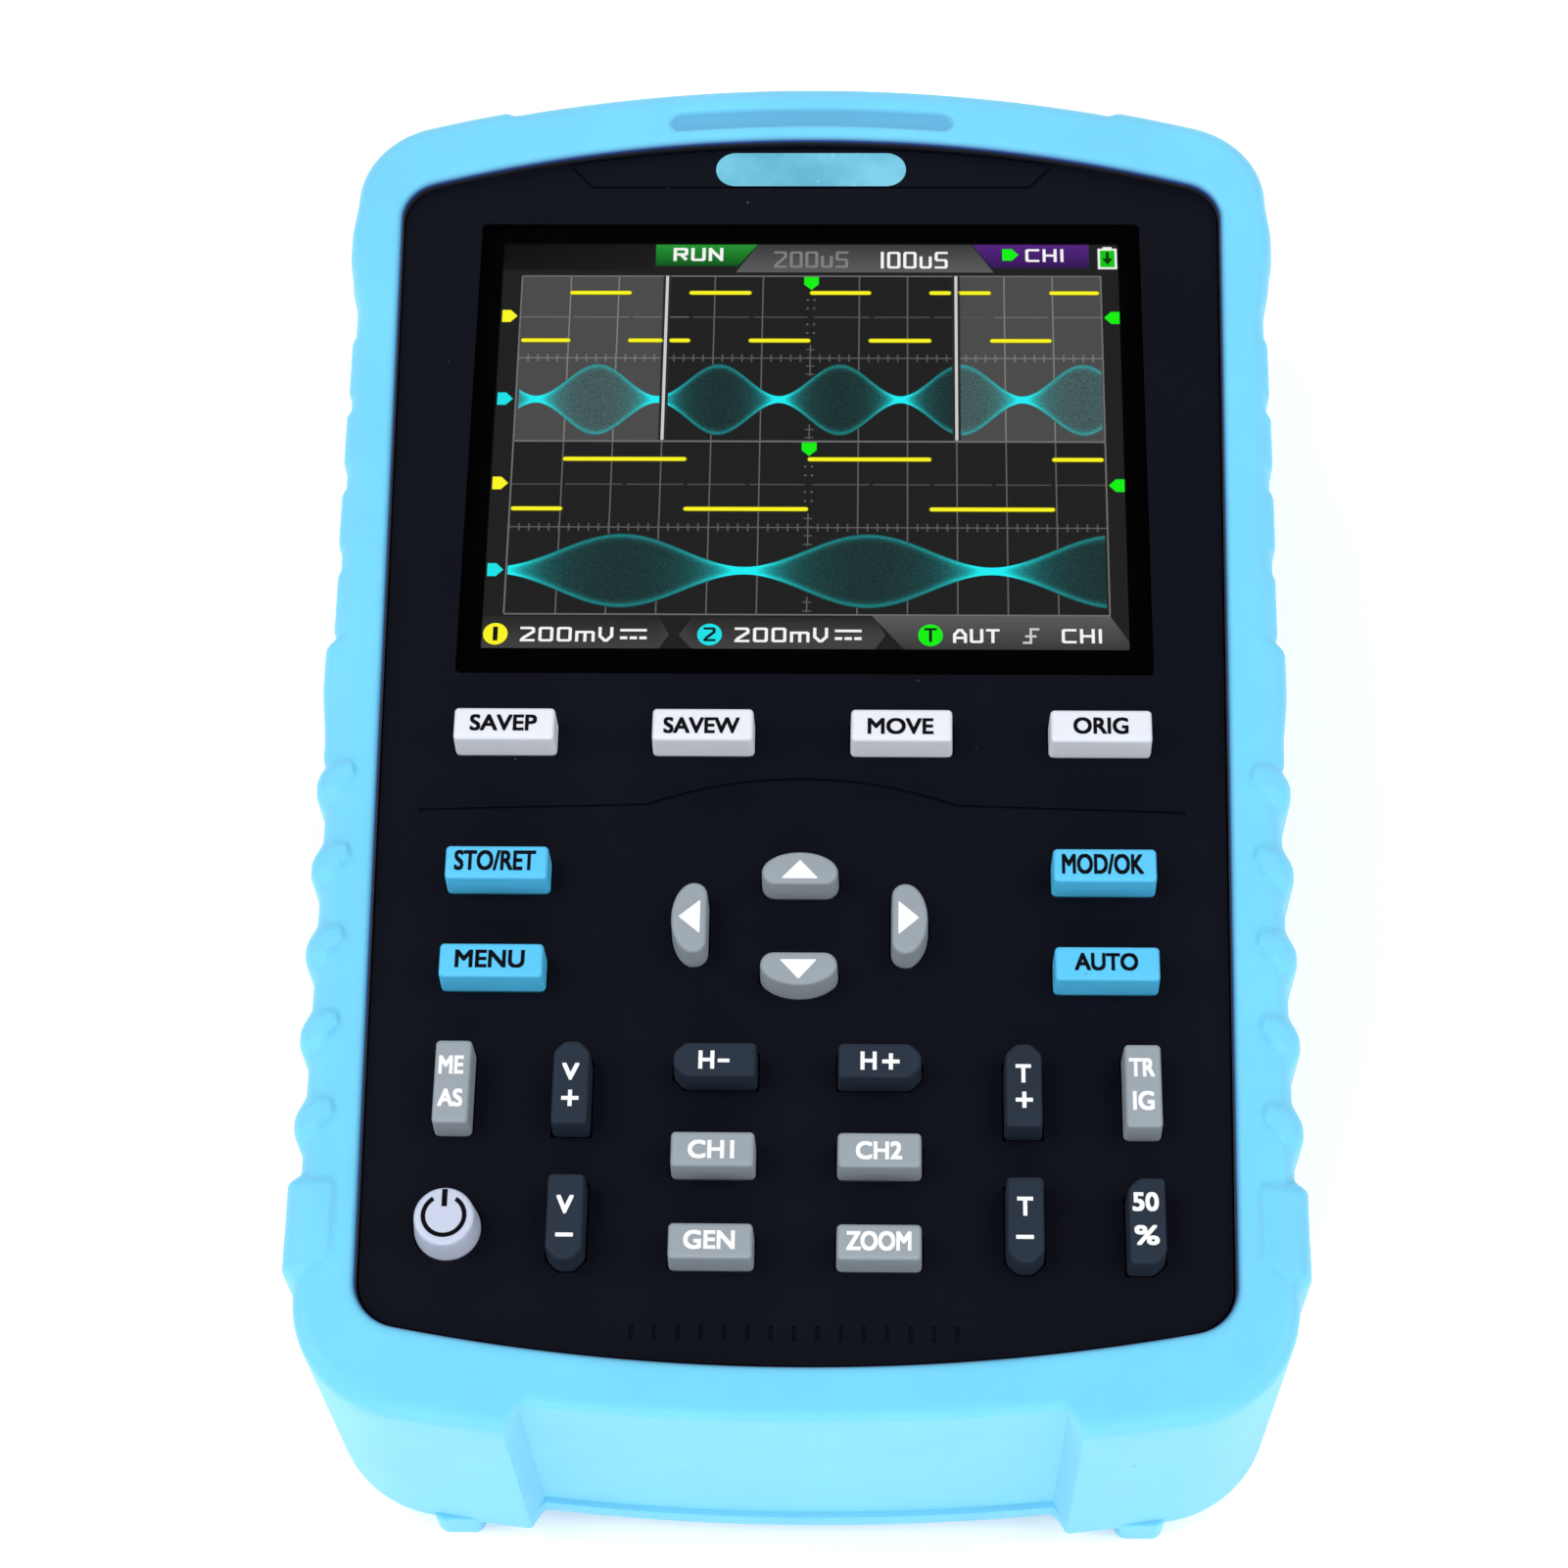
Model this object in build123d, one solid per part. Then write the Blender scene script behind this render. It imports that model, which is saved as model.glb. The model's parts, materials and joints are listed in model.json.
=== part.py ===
from build123d import *
import math
import os

# A two-channel handheld oscilloscope in its rubber boot, lying on its back. Millimetres.
# +X is to the right of its face, +Y points to the end with the sockets, +Z points out of the face.
# Everything is drawn about the middle of the boot and moved at the end, so that the origin lies
# under the middle of the whole object, at the level of its feet.

# Heights, from the feet up
FOOT = 2.0  # the feet stand this far below the back of the boot
BOOT_SKIN = 2.4
SHELL_BACK = FOOT + BOOT_SKIN
PARTING = 17.4  # the two shells meet here, on the axes of the round sockets
PANEL = 32.5  # face of the front panel
PANEL_STEP = 0.4  # the panel's edge drops by this under the lip of the boot
LIP = 33.6  # front face of the boot
SHELL_WALL = 2.0
SHELL_EDGE = 1.2
PANEL_UNDER = PANEL - SHELL_WALL

# Plans of the boot, its corner bumpers and its front opening: half widths at the socket end and at
# the other end, the two ends, the radii to which the ends bow, and the corner radius
BOOT = (42.4, 40.9, 66.2, -65.4, 135.0, 210.0, 8.0)
TOP_BUMPERS = (42.95, 41.4, 66.7, -65.4, 135.0, 210.0, 8.5)
LOW_BUMPERS = (42.4, 40.9, 66.2, -67.75, 135.0, 210.0, 10.5)
OPENING = (38.4, 35.75, 59.55, -60.8, 127.0, 173.0, 4.0)
SHELL_INSET = -2.5
SHELL_GAP = 0.1
PLATEAU_INSET, PLATEAU_EDGE = -0.08, 0.12  # the raised panel fills the opening up to the lip
TOP_BUMPER_FROM = (28.9, 41.5)  # the bumpers take up the corners beyond these distances
LOW_BUMPER_FROM = (22.2, 45.0)
BOOT_EDGE = 2.3
BACK_EDGE = 1.5
RIM = (0.4, 3.6, 0.7)  # its two heights above the feet's top, and its reach, along the lower end
BAND = (-3.2, -5.1, 27.0, 0.35)  # the recess over the sockets: its two insets, length and depth
BAND_CORNER = 0.85

# Finger ridges on the sides: centres along Y, half lengths to either side at the wall and at the
# tip, how far they stand out, and how far they reach onto the front face
RIDGES = [-8.0 - 7.85 * i for i in range(5)]
RIDGE_HALF, RIDGE_TIP, RIDGE_OUT, RIDGE_REACH = (2.4, 2.9), 1.05, 0.88, 2.75
TONGUE_SHOULDER, TONGUE_CORNER = 0.3, 0.6
BLOCK_Y, BLOCK_OUT, BLOCK_REACH = (-53.4, -45.2), 1.1, 3.1
RAISED = 0.4  # ridges and blocks stand this far above the front face
PLATES = ((31.6, 37.6), (24.1, 29.6), (15.5, 21.3), (6.6, 12.8), (43.9, 52.3))
PLATE_OUT = (0.35, 0.37, 0.35, 0.25, 0.95)
SWELL_Y, SWELL_OUT = (-4.5, 5.6), 0.88

FOOT_X, FOOT_WIDTH, FOOT_LENGTH, FOOT_CORNER = 29.7, 4.2, 14.0, 1.0
FOOT_Y = (56.0, -59.0)

# Sockets in the end wall
DECK = 60.6  # flat outer face that the sockets come through
DECK_WALL = 2.0
DECK_HALF, DECK_LOW, DECK_HIGH, DECK_CORNER = 36.0, 8.4, 27.4, 4.0
BNC_X = (-21.0, -3.5, 14.0)
BNC_R, BNC_THREAD, BNC_BORE, BNC_REACH = 4.8, 4.55, 4.05, 11.0
BNC_MOUTH = 3.4  # the full-width end in front of the lugs, which a plug's sleeve slides over
BNC_LUG_R, BNC_LUG_REACH, BNC_LUG_BACK = 1.0, 5.5, 5.0
BNC_BLOCK, BNC_BLOCK_DEPTH, BNC_BLOCK_EDGE = 13.0, 12.7, 0.8
BNC_CORE, BNC_CONTACT, BNC_RIM = 2.45, 1.0, 0.3
BNC_FLOOR, BNC_TAIL = 5.0, 2.0  # the mouth's floor above the deck, and the core's end inside the block
CORE_GAP, CONTACT_GAP = 0.03, 0.02
CORE_BACK, CONTACT_BACK, SLEEVE_DEPTH, SLEEVE_BORE = 2.2, 2.6, 6.0, 0.62
NUT_FLATS, NUT_THICK, NUT_EDGE, WASHER_R, WASHER_THICK = 13.5, 2.2, 0.4, 6.6, 0.5
THREAD_GAP = 0.06
USB_X, USB_Z = 25.8, 23.7
USB_WIDTH, USB_HEIGHT, USB_DEPTH, USB_WALL = 8.94, 3.26, 7.35, 0.3
USB_BACK, USB_GAP = 1.2, 0.2
USB_TONGUE = (6.6, 0.7, 1.6)  # width, thickness, and how far it stops behind the deck

# Window and display
LENS_Y = 26.45
LENS = (61.6, 47.8, 0.8)
LENS_CORNER = 0.5
LENS_GAP = 0.05
LEDGE_HOLE = (59.5, 45.3, 0.6)
LCD_Y = 27.05
LCD_ACTIVE = (57.7, 43.3)
LCD_GLASS = (58.9, 44.7, 1.4)
LCD_FRAME = (66.0, 49.6, 2.6)
LCD_FOAM = (60.0, 44.0)
ACTIVE_CORNER, GLASS_CORNER, FRAME_CORNER = 0.2, 0.4, 1.0
TAPE = 0.2

# Board and keypad
BOARD_TOP = 27.0
BOARD = 1.6
BOARD_UNDER = BOARD_TOP - BOARD
BOARD_Y = (-58.6, 57.4)
BOARD_ROOM = 0.8  # from the board's edge to the shell
MAT = (66.4, 57.0, 2.0, 0.8)  # width, depth, corner and thickness of the silicone sheet
MAT_Y, MAT_ROOM = -27.4, 0.4
KEY_RISE = 3.05
KEY_TRAVEL = 0.8
KEY_GAP = 0.15
KEY_EDGE = 0.3
KEY_CORNER = 0.45
SKIRT_TOP, SKIRT_THICK, SKIRT_OUT = 30.2, 1.3, 0.9
PILL_R, PILL_ROOM = 1.0, 0.6
PILL_FOOT = BOARD_TOP + KEY_TRAVEL + 0.2  # a pressed key stops this much above the board
CONTACT, CONTACT_R = 0.08, 1.3

# Fasteners
BOSSES = ((33.6, 55.6), (32.6, -56.2))
BOSS_R, BOSS_HOLE, BOSS_ROOM, BOSS_ROOF = 3.0, 1.05, 0.6, 2.5
REAR_BOSS_R, SCREW_ROOM, HEAD_ROOM = 3.6, 0.3, 0.3
POSTS = ((33.4, 0.0), (33.4, -30.5), (20.0, -56.6), (11.0, 55.2))
POST_R, POST_HOLE, POST_ROOM, POST_DEPTH = 1.85, 0.85, 0.25, 0.6
HEAD_R, HEAD_THICK, HEAD_SEAT, CASE_SCREW_TIP = 2.4, 1.8, 8.4, 26.0
SMALL_HEAD_R, SMALL_HEAD_THICK, SMALL_SCREW_TIP = 1.6, 1.1, 30.6
SHANK_GAP, HEAD_EDGE = 0.05, 0.4
CROSS = (0.55, 0.14, 0.5)  # arm and half slot as parts of the head's radius, depth of its thickness

# Stand on the back
STAND_HALF, STAND_END, STAND_THICK, STAND_CORNER = 23.0, -31.0, 2.4, 4.0
HINGE_Y, HINGE_Z = 33.0, 6.6
BARREL_R, PIN_R, PIN_HALF = 2.0, 1.0, 27.0
STAND_GAP, PIN_GAP = 0.4, 0.05
BACK_WINDOW = (29.0, -40.0, 44.0, 6.0)
NOTCH_HALF, NOTCH_END = 8.0, -37.0
POCKET_ROOF, POCKET_WALL = HINGE_Z + 2 * STAND_GAP, 1.6
GRIP_COUNT, GRIP_FROM, GRIP_STEP, GRIP = 5, 8.0, 3.0, (24.0, 1.2, 0.5)
PAD_FROM, PAD = 1.2, (32.0, 3.5, 1.0)

# Cell pack over the stand's pocket, with its leads, and the parts under the board
PACK, PACK_END, PACK_ROUND = (50.0, 56.0, 7.6), 2.0, 2.0
PACK_TAPE, PACK_TAPE_Y = (36.0, 34.0, 0.3), -19.0
LEAD_X, LEAD_Y, LEAD_R, LEAD_BEND, LEAD_DROP = (16.8, 19.2), 13.0, 0.6, 3.4, 2.5
PLUG = (6.8, 5.2, 3.4)
CAN, CAN_X, CAN_Y, CAN_WALL, CAN_CORNER = (24.0, 22.0, 3.0), 17.0, 29.0, 0.3, 0.8
CHIP, CHIP_Y = (14.0, 14.0, 1.2), 7.0
MEMORY, MEMORY_X, MEMORY_Y = (10.0, 6.5, 1.0), 17.0, 5.25
SOUNDER_Y, SOUNDER_R, SOUNDER_THICK, SOUNDER_PORT = -51.5, 4.5, 4.0, (1.0, 0.8)

# Keys: centre, width, depth and outline
SOFT_X, INNER_X, PAD_X, PAIR_X, COLUMN_X, EDGE_X = 25.9, 8.63, 9.34, 6.85, 18.75, 28.6
SAVE_Y, STORE_Y, MENU_Y, PAD_Y = -4.0, -17.3, -26.4, -22.35
UPPER_Y, LOWER_Y, H_Y, PAIR_STEP = -37.35, -49.05, -35.25, 7.9
WIDE, SHORT, TALL, SLIM = (8.9, 3.2), (7.0, 3.15), (3.15, 7.45), (6.6, 3.15)
KEYS = {
    "key_savep": (-SOFT_X, SAVE_Y, *WIDE, "plain"),
    "key_savew": (-INNER_X, SAVE_Y, *WIDE, "plain"),
    "key_move": (INNER_X, SAVE_Y, *WIDE, "plain"),
    "key_orig": (SOFT_X, SAVE_Y, *WIDE, "plain"),
    "key_sto_ret": (-SOFT_X, STORE_Y, *WIDE, "plain"),
    "key_mod_ok": (SOFT_X, STORE_Y, *WIDE, "plain"),
    "key_menu": (-SOFT_X, MENU_Y, *WIDE, "plain"),
    "key_auto": (SOFT_X, MENU_Y, *WIDE, "plain"),
    "key_up": (0.0, PAD_Y + 4.65, *SLIM, "arch 0"),
    "key_left": (-PAD_X, PAD_Y, *SLIM, "arch 90"),
    "key_down": (0.0, PAD_Y - 4.65, *SLIM, "arch 180"),
    "key_right": (PAD_X, PAD_Y, *SLIM, "arch 270"),
    "key_meas": (-EDGE_X, UPPER_Y, *TALL, "plain"),
    "key_trig": (EDGE_X, UPPER_Y, *TALL, "plain"),
    "key_v_up": (-COLUMN_X, UPPER_Y, *TALL, "cut top"),
    "key_t_up": (COLUMN_X, UPPER_Y, *TALL, "cut top"),
    "key_v_down": (-COLUMN_X, LOWER_Y, *TALL, "cut bottom"),
    "key_t_down": (COLUMN_X, LOWER_Y, *TALL, "cut bottom"),
    "key_h_down": (-PAIR_X, H_Y, *SHORT, "cut left"),
    "key_h_up": (PAIR_X, H_Y, *SHORT, "cut right"),
    "key_ch1": (-PAIR_X, H_Y - PAIR_STEP, *SHORT, "plain"),
    "key_ch2": (PAIR_X, H_Y - PAIR_STEP, *SHORT, "plain"),
    "key_gen": (-PAIR_X, H_Y - 2 * PAIR_STEP, *SHORT, "plain"),
    "key_zoom": (PAIR_X, H_Y - 2 * PAIR_STEP, *SHORT, "plain"),
    "key_level": (EDGE_X, LOWER_Y, *TALL, "cut slash"),
    "key_power": (-EDGE_X, LOWER_Y - 0.1, 5.5, 5.5, "round"),
}
CUT = 0.95  # the cut corners of the step keys
CUTS = {
    "top": ((-1, 1), (1, 1)),
    "bottom": ((-1, -1), (1, -1)),
    "left": ((-1, 1), (-1, -1)),
    "right": ((1, 1), (1, -1)),
    "slash": ((-1, 1), (1, -1)),
}

# Marks on the panel
BADGE_Y, BADGE_SIZE, BADGE_DEPTH, BADGE_GAP = 56.65, (18.0, 3.8), 0.4, 0.05
GROOVE, GROOVE_DEPTH = 0.26, 0.18
FIELD_TIP, FIELD_BASE, FIELD_CREST = (22.95, 57.15), (20.6, 54.55), 59.1
SHOULDER_EDGE, SHOULDER_KNEE, SHOULDER_CREST = (33.2, -11.0), (13.4, -10.4), -7.9
SLIT, SLIT_COUNT, SLITS_HALF, SLITS_Y = (0.35, 1.3), 15, 13.2, -57.9

SIDES = (-1, 1)
FAR = 100.0  # beyond every part


def block(x, y, z):
    """A box from its two limits along each axis."""
    return Pos((x[0] + x[1]) / 2, (y[0] + y[1]) / 2, (z[0] + z[1]) / 2) * Box(
        x[1] - x[0], y[1] - y[0], z[1] - z[0]
    )


def slab(size, x, y, low):
    """A box of a size, centred at x, y, that stands on a height."""
    width, depth, thick = size
    return block((x - width / 2, x + width / 2), (y - depth / 2, y + depth / 2), (low, low + thick))


def rounded(width, depth, corner, x, y, z):
    """A plate with round corners, centred at x, y, between two heights."""
    return Pos(x, y, z[0]) * extrude(RectangleRounded(width, depth, corner), z[1] - z[0])


def upright(x, y, z, radius):
    """A cylinder along Z between two heights."""
    return Pos(x, y, (z[0] + z[1]) / 2) * Cylinder(radius, z[1] - z[0])


def along_y(x, y, z, radius):
    """A cylinder along Y between two places."""
    return Pos(x, (y[0] + y[1]) / 2, z) * Rot(X=90) * Cylinder(radius, y[1] - y[0])


def along_x(x, y, z, radius):
    """A cylinder along X between two places."""
    return Pos((x[0] + x[1]) / 2, y, z) * Rot(Y=90) * Cylinder(radius, x[1] - x[0])


def plan(shape, grow=0.0):
    """A plan with tapering sides, bowed ends and round corners, offset outward by grow."""
    top_half, end_half, top, end, top_bow, end_bow, corner = shape
    top_half, end_half, top, end = top_half + grow, end_half + grow, top + grow, end - grow
    top_drop = top_bow + grow - math.sqrt((top_bow + grow) ** 2 - top_half**2)
    end_drop = end_bow + grow - math.sqrt((end_bow + grow) ** 2 - end_half**2)
    corners = [(-top_half, top - top_drop), (top_half, top - top_drop)]
    corners += [(end_half, end + end_drop), (-end_half, end + end_drop)]
    lines = ThreePointArc(corners[0], (0, top), corners[1])
    lines += Line(corners[1], corners[2])
    lines += ThreePointArc(corners[2], (0, end), corners[3])
    lines += Line(corners[3], corners[0])
    face = make_face(lines)
    return fillet(face.vertices(), corner + grow)


def prism(shape, grow, low, high):
    """The solid between two heights over a plan."""
    return Pos(0, 0, low) * extrude(plan(shape, grow), high - low)


def side_half(y):
    """Half width of the boot's plain sides at y."""
    top_half, end_half, top, end = BOOT[:4]
    return end_half + (top_half - end_half) * (y - end) / (top - end)


def edges_at(solid, z):
    """The edges that lie level at a height."""
    return solid.edges().filter_by_position(Axis.Z, z - 0.01, z + 0.01)


def tongue(low, high, tip, reach):
    """Plan of a raised tongue: wide at the wall, with a narrower rounded tip on the front face."""
    middle = (low + high) / 2
    edge = side_half(middle)
    corners = [
        (edge + reach, low),
        (edge - TONGUE_SHOULDER, low),
        (edge - reach, middle - tip),
        (edge - reach, middle + tip),
        (edge - TONGUE_SHOULDER, high),
        (edge + reach, high),
    ]
    face = make_face(Polyline(*corners, close=True))
    return fillet([v for v in face.vertices() if v.X < edge], TONGUE_CORNER)


def boot_ridges():
    """Finger ridges, corner blocks, plates and the long swell, on the side at +X."""
    low = FOOT + BOOT_EDGE
    skins = {}
    for out in (RIDGE_OUT, BLOCK_OUT):
        skin = prism(BOOT, out, low, LIP + RAISED)
        skins[out] = fillet(edges_at(skin, LIP + RAISED), BOOT_EDGE)
    tongues = [
        (RIDGE_OUT, tongue(y - RIDGE_HALF[1], y + RIDGE_HALF[0], RIDGE_TIP, RIDGE_REACH)) for y in RIDGES
    ]
    half_block = (BLOCK_Y[1] - BLOCK_Y[0]) / 2 - TONGUE_CORNER
    tongues.append((BLOCK_OUT, tongue(*BLOCK_Y, half_block, BLOCK_REACH)))
    solids = [skins[out] & (Pos(0, 0, low) * extrude(face, LIP + 1.0 - low)) for out, face in tongues]
    for (y_low, y_high), out in zip((*PLATES, SWELL_Y), (*PLATE_OUT, SWELL_OUT)):
        plate = prism(BOOT, out, low, LIP - BOOT_EDGE)
        solids.append(plate & block((OPENING[1], FAR), (y_low, y_high), (0, FAR)))
    return solids


def rounded_prism(shape):
    """The full height of the boot over a plan, with its edges rounded."""
    body = prism(shape, 0, FOOT, LIP)
    body = fillet(edges_at(body, LIP), BOOT_EDGE)
    return fillet(edges_at(body, FOOT), BACK_EDGE)


def boot():
    """The rubber boot: a sleeve with a lip over the panel, bumpers, ridges, feet and windows."""
    body = rounded_prism(BOOT)
    for shape, (x, y), end in ((TOP_BUMPERS, TOP_BUMPER_FROM, 1), (LOW_BUMPERS, LOW_BUMPER_FROM, -1)):
        bumper = rounded_prism(shape)
        for side in SIDES:
            corner = block(sorted((side * x, side * FAR)), sorted((end * y, end * FAR)), (0, FAR))
            body += bumper & corner
    rim_low, rim_high, rim_reach = RIM
    rim = prism(BOOT[:3] + (BOOT[3] - rim_reach,) + BOOT[4:], 0, FOOT + rim_low, FOOT + rim_high)
    rim_half, rim_from = LOW_BUMPER_FROM
    body += rim & block((-rim_half, rim_half), (-FAR, -rim_from), (0, FAR))
    for bump in boot_ridges():
        body += bump
        body += mirror(bump, Plane.YZ)
    for side in SIDES:
        for y in FOOT_Y:
            body += rounded(FOOT_WIDTH, FOOT_LENGTH, FOOT_CORNER, side * FOOT_X, y, (0, SHELL_BACK))
    near, inner, length, depth = BAND
    band = plan(BOOT, near) - plan(BOOT, inner)
    band &= Pos(0, BOOT[2]) * Rectangle(length, length)
    body -= Pos(0, 0, LIP - depth) * extrude(fillet(band.vertices(), BAND_CORNER), 1.0)
    body -= prism(BOOT, SHELL_INSET + SHELL_GAP, SHELL_BACK, PANEL - PANEL_STEP)
    body -= prism(OPENING, 0, PANEL - 1.0, LIP + 1.0)
    half, low, high, corner = BACK_WINDOW
    body -= rounded(2 * half, high - low, corner, 0, (low + high) / 2, (FOOT - 1, SHELL_BACK + 1))
    body -= deck_opening(DECK - SHELL_WALL, FAR)
    return body


def deck_opening(near, far):
    """The space through which the sockets are reached, a round-cornered slot along Y."""
    middle = (DECK_LOW + DECK_HIGH) / 2
    face = RectangleRounded(2 * DECK_HALF, DECK_HIGH - DECK_LOW, DECK_CORNER)
    return Pos(0, far, middle) * Rot(X=90) * extrude(face, far - near)


def socket_holes():
    """What the sockets need cut through the deck of either shell."""
    reach = (DECK - DECK_WALL - 1.0, DECK + 1.0)
    holes = [along_y(x, reach, PARTING, BNC_THREAD + THREAD_GAP) for x in BNC_X]
    holes.append(usb_slot(reach, USB_GAP))
    return holes


def usb_slot(y, grow):
    """A flat-sided oval along Y at the small power and data socket."""
    width, height = USB_WIDTH + 2 * grow, USB_HEIGHT + 2 * grow
    face = RectangleRounded(width, height, height / 2 - 0.05)
    return Pos(USB_X, y[1], USB_Z) * Rot(X=90) * extrude(face, y[1] - y[0])


def shell_cavity(low, high):
    """The room inside the shells, cut square behind the deck."""
    room = prism(BOOT, SHELL_INSET - SHELL_WALL, low, high)
    return room - block((-FAR, FAR), (DECK - DECK_WALL, FAR), (0, FAR))


def arch(width, depth):
    """A key outline with a flat side and a bowed side."""
    half, foot, shoulder = width / 2, -depth / 2, 0.05 * depth
    lines = ThreePointArc((-half, shoulder), (0, depth / 2), (half, shoulder))
    lines += Polyline((half, shoulder), (half, foot), (-half, foot), (-half, shoulder))
    face = make_face(lines)
    face = fillet([v for v in face.vertices() if v.Y > foot + 0.01], 0.13 * depth)
    return fillet([v for v in face.vertices() if v.Y < foot + 0.01], 0.38 * depth)


def footprint(width, depth, outline):
    """The plan of one key."""
    kind, _, detail = outline.partition(" ")
    if kind == "round":
        return Circle(width / 2)
    if kind == "arch":
        return Rot(Z=float(detail)) * arch(width, depth)
    if kind == "plain":
        return RectangleRounded(width, depth, KEY_CORNER)
    face = Rectangle(width, depth)
    cut = [v for v in face.vertices() if (round(v.X / width * 2), round(v.Y / depth * 2)) in CUTS[detail]]
    return chamfer(cut, CUT)


def key(x, y, width, depth, outline):
    """A silicone key: its cap above the panel, the skirt below it and the pill that makes contact."""
    face = footprint(width, depth, outline)
    cap = extrude(face, PANEL + KEY_RISE - SKIRT_TOP)
    cap = fillet(cap.faces().sort_by(Axis.Z)[-1].edges(), KEY_EDGE)
    skirt = Pos(0, 0, -SKIRT_THICK) * extrude(offset(face, SKIRT_OUT), SKIRT_THICK)
    pill = upright(0, 0, (PILL_FOOT - SKIRT_TOP, -SKIRT_THICK), PILL_R)
    return Pos(x, y, SKIRT_TOP) * (cap + skirt + pill)


def groove(*lines):
    """A thin groove of constant width along lines and arcs, as a face to cut."""
    path = Wire(list(lines))
    return trace(path, line_width=GROOVE)


def panel_marks():
    """Engraved lines of the panel: the name field at the top, the shoulder and the sounder's slits."""
    (tip_x, tip_y), (base_x, base_y) = FIELD_TIP, FIELD_BASE
    field = groove(
        ThreePointArc((-tip_x, tip_y), (0, FIELD_CREST), (tip_x, tip_y)),
        Line((tip_x, tip_y), (base_x, base_y)),
        Line((base_x, base_y), (-base_x, base_y)),
        Line((-base_x, base_y), (-tip_x, tip_y)),
    )
    (edge_x, edge_y), (knee_x, knee_y) = SHOULDER_EDGE, SHOULDER_KNEE
    shoulder = groove(
        Line((-edge_x, edge_y), (-knee_x, knee_y)),
        ThreePointArc((-knee_x, knee_y), (0, SHOULDER_CREST), (knee_x, knee_y)),
        Line((knee_x, knee_y), (edge_x, edge_y)),
    )
    width, depth = SLIT
    slits = [
        Pos(SLITS_HALF * (2 * i / (SLIT_COUNT - 1) - 1), SLITS_Y) * Rectangle(width, depth)
        for i in range(SLIT_COUNT)
    ]
    return [field, shoulder, *slits]


def front_shell():
    """The front housing: panel, window recess, key holes, bosses and posts."""
    edge = PANEL - PANEL_STEP
    body = prism(BOOT, SHELL_INSET, PARTING, edge)
    plateau = prism(OPENING, PLATEAU_INSET, edge - 0.1, PANEL)
    body += chamfer(edges_at(plateau, PANEL), PLATEAU_EDGE)
    body -= shell_cavity(PARTING - 1, PANEL_UNDER)
    body -= deck_opening(DECK, FAR)
    for side in SIDES:
        for x, y in BOSSES:
            body += upright(side * x, y, (PARTING, PANEL_UNDER), BOSS_R)
            body -= upright(side * x, y, (PARTING - 1, PANEL_UNDER - BOSS_ROOF), BOSS_HOLE)
        for x, y in POSTS:
            body += upright(side * x, y, (BOARD_TOP, PANEL_UNDER), POST_R)
            body -= upright(side * x, y, (BOARD_TOP - 1, PANEL_UNDER + POST_DEPTH), POST_HOLE)
    lens_width, lens_depth, lens_thick = LENS
    body -= rounded(
        lens_width + 2 * LENS_GAP,
        lens_depth + 2 * LENS_GAP,
        LENS_CORNER,
        0,
        LENS_Y,
        (PANEL - lens_thick, PANEL + 1),
    )
    body -= rounded(*LEDGE_HOLE, 0, LCD_Y, (PANEL_UNDER - 1, PANEL))
    for x, y, width, depth, outline in KEYS.values():
        hole = offset(footprint(width, depth, outline), KEY_GAP)
        body -= Pos(x, y, PANEL_UNDER - 1) * extrude(hole, SHELL_WALL + 2)
    body -= badge(BADGE_GAP, PANEL + 1)
    for mark in panel_marks():
        body -= Pos(0, 0, PANEL - GROOVE_DEPTH) * extrude(mark, 1.0)
    for hole in socket_holes():
        body -= hole
    return body


def badge(gap, top):
    """The blank pill-shaped inlay above the window, and with a gap the recess it sits in."""
    width, depth = BADGE_SIZE
    face = SlotOverall(width + 2 * gap, depth + 2 * gap)
    return Pos(0, BADGE_Y, PANEL - BADGE_DEPTH) * extrude(face, top - PANEL + BADGE_DEPTH)


def rear_shell():
    """The rear housing: walls, screw bosses, the pocket for the stand and its hinge lugs."""
    body = prism(BOOT, SHELL_INSET, SHELL_BACK, PARTING)
    body = fillet(edges_at(body, SHELL_BACK), SHELL_EDGE)
    body -= shell_cavity(SHELL_BACK + SHELL_WALL, PARTING + 1)
    body -= deck_opening(DECK, FAR)
    barrel_room = BARREL_R + STAND_GAP
    barrel_top = HINGE_Z + barrel_room
    near, far = HINGE_Y - barrel_room, HINGE_Y + barrel_room
    housing = (-PIN_HALF - POCKET_WALL, PIN_HALF + POCKET_WALL)
    inside = SHELL_BACK + 1
    body += block(housing, (NOTCH_END - POCKET_WALL, far), (inside, POCKET_ROOF + POCKET_WALL))
    body += block(housing, (near - POCKET_WALL, far + POCKET_WALL), (inside, barrel_top + POCKET_WALL))
    pocket = (-STAND_HALF - STAND_GAP, STAND_HALF + STAND_GAP)
    end = STAND_END - STAND_GAP
    body -= block(pocket, (end, far), (0, POCKET_ROOF))
    body -= block(pocket, (near, far), (0, barrel_top))
    body -= block((-NOTCH_HALF, NOTCH_HALF), (NOTCH_END, end + 1), (0, POCKET_ROOF))
    body -= along_x((-PIN_HALF, PIN_HALF), HINGE_Y, HINGE_Z, PIN_R)
    for side in SIDES:
        for x, y in BOSSES:
            body += upright(side * x, y, (inside, PARTING), REAR_BOSS_R)
            body -= upright(side * x, y, (0, HEAD_SEAT), HEAD_R + HEAD_ROOM)
            body -= upright(side * x, y, (0, PARTING + 1), BOSS_HOLE + SCREW_ROOM)
    for hole in socket_holes():
        body -= hole
    return body


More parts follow.
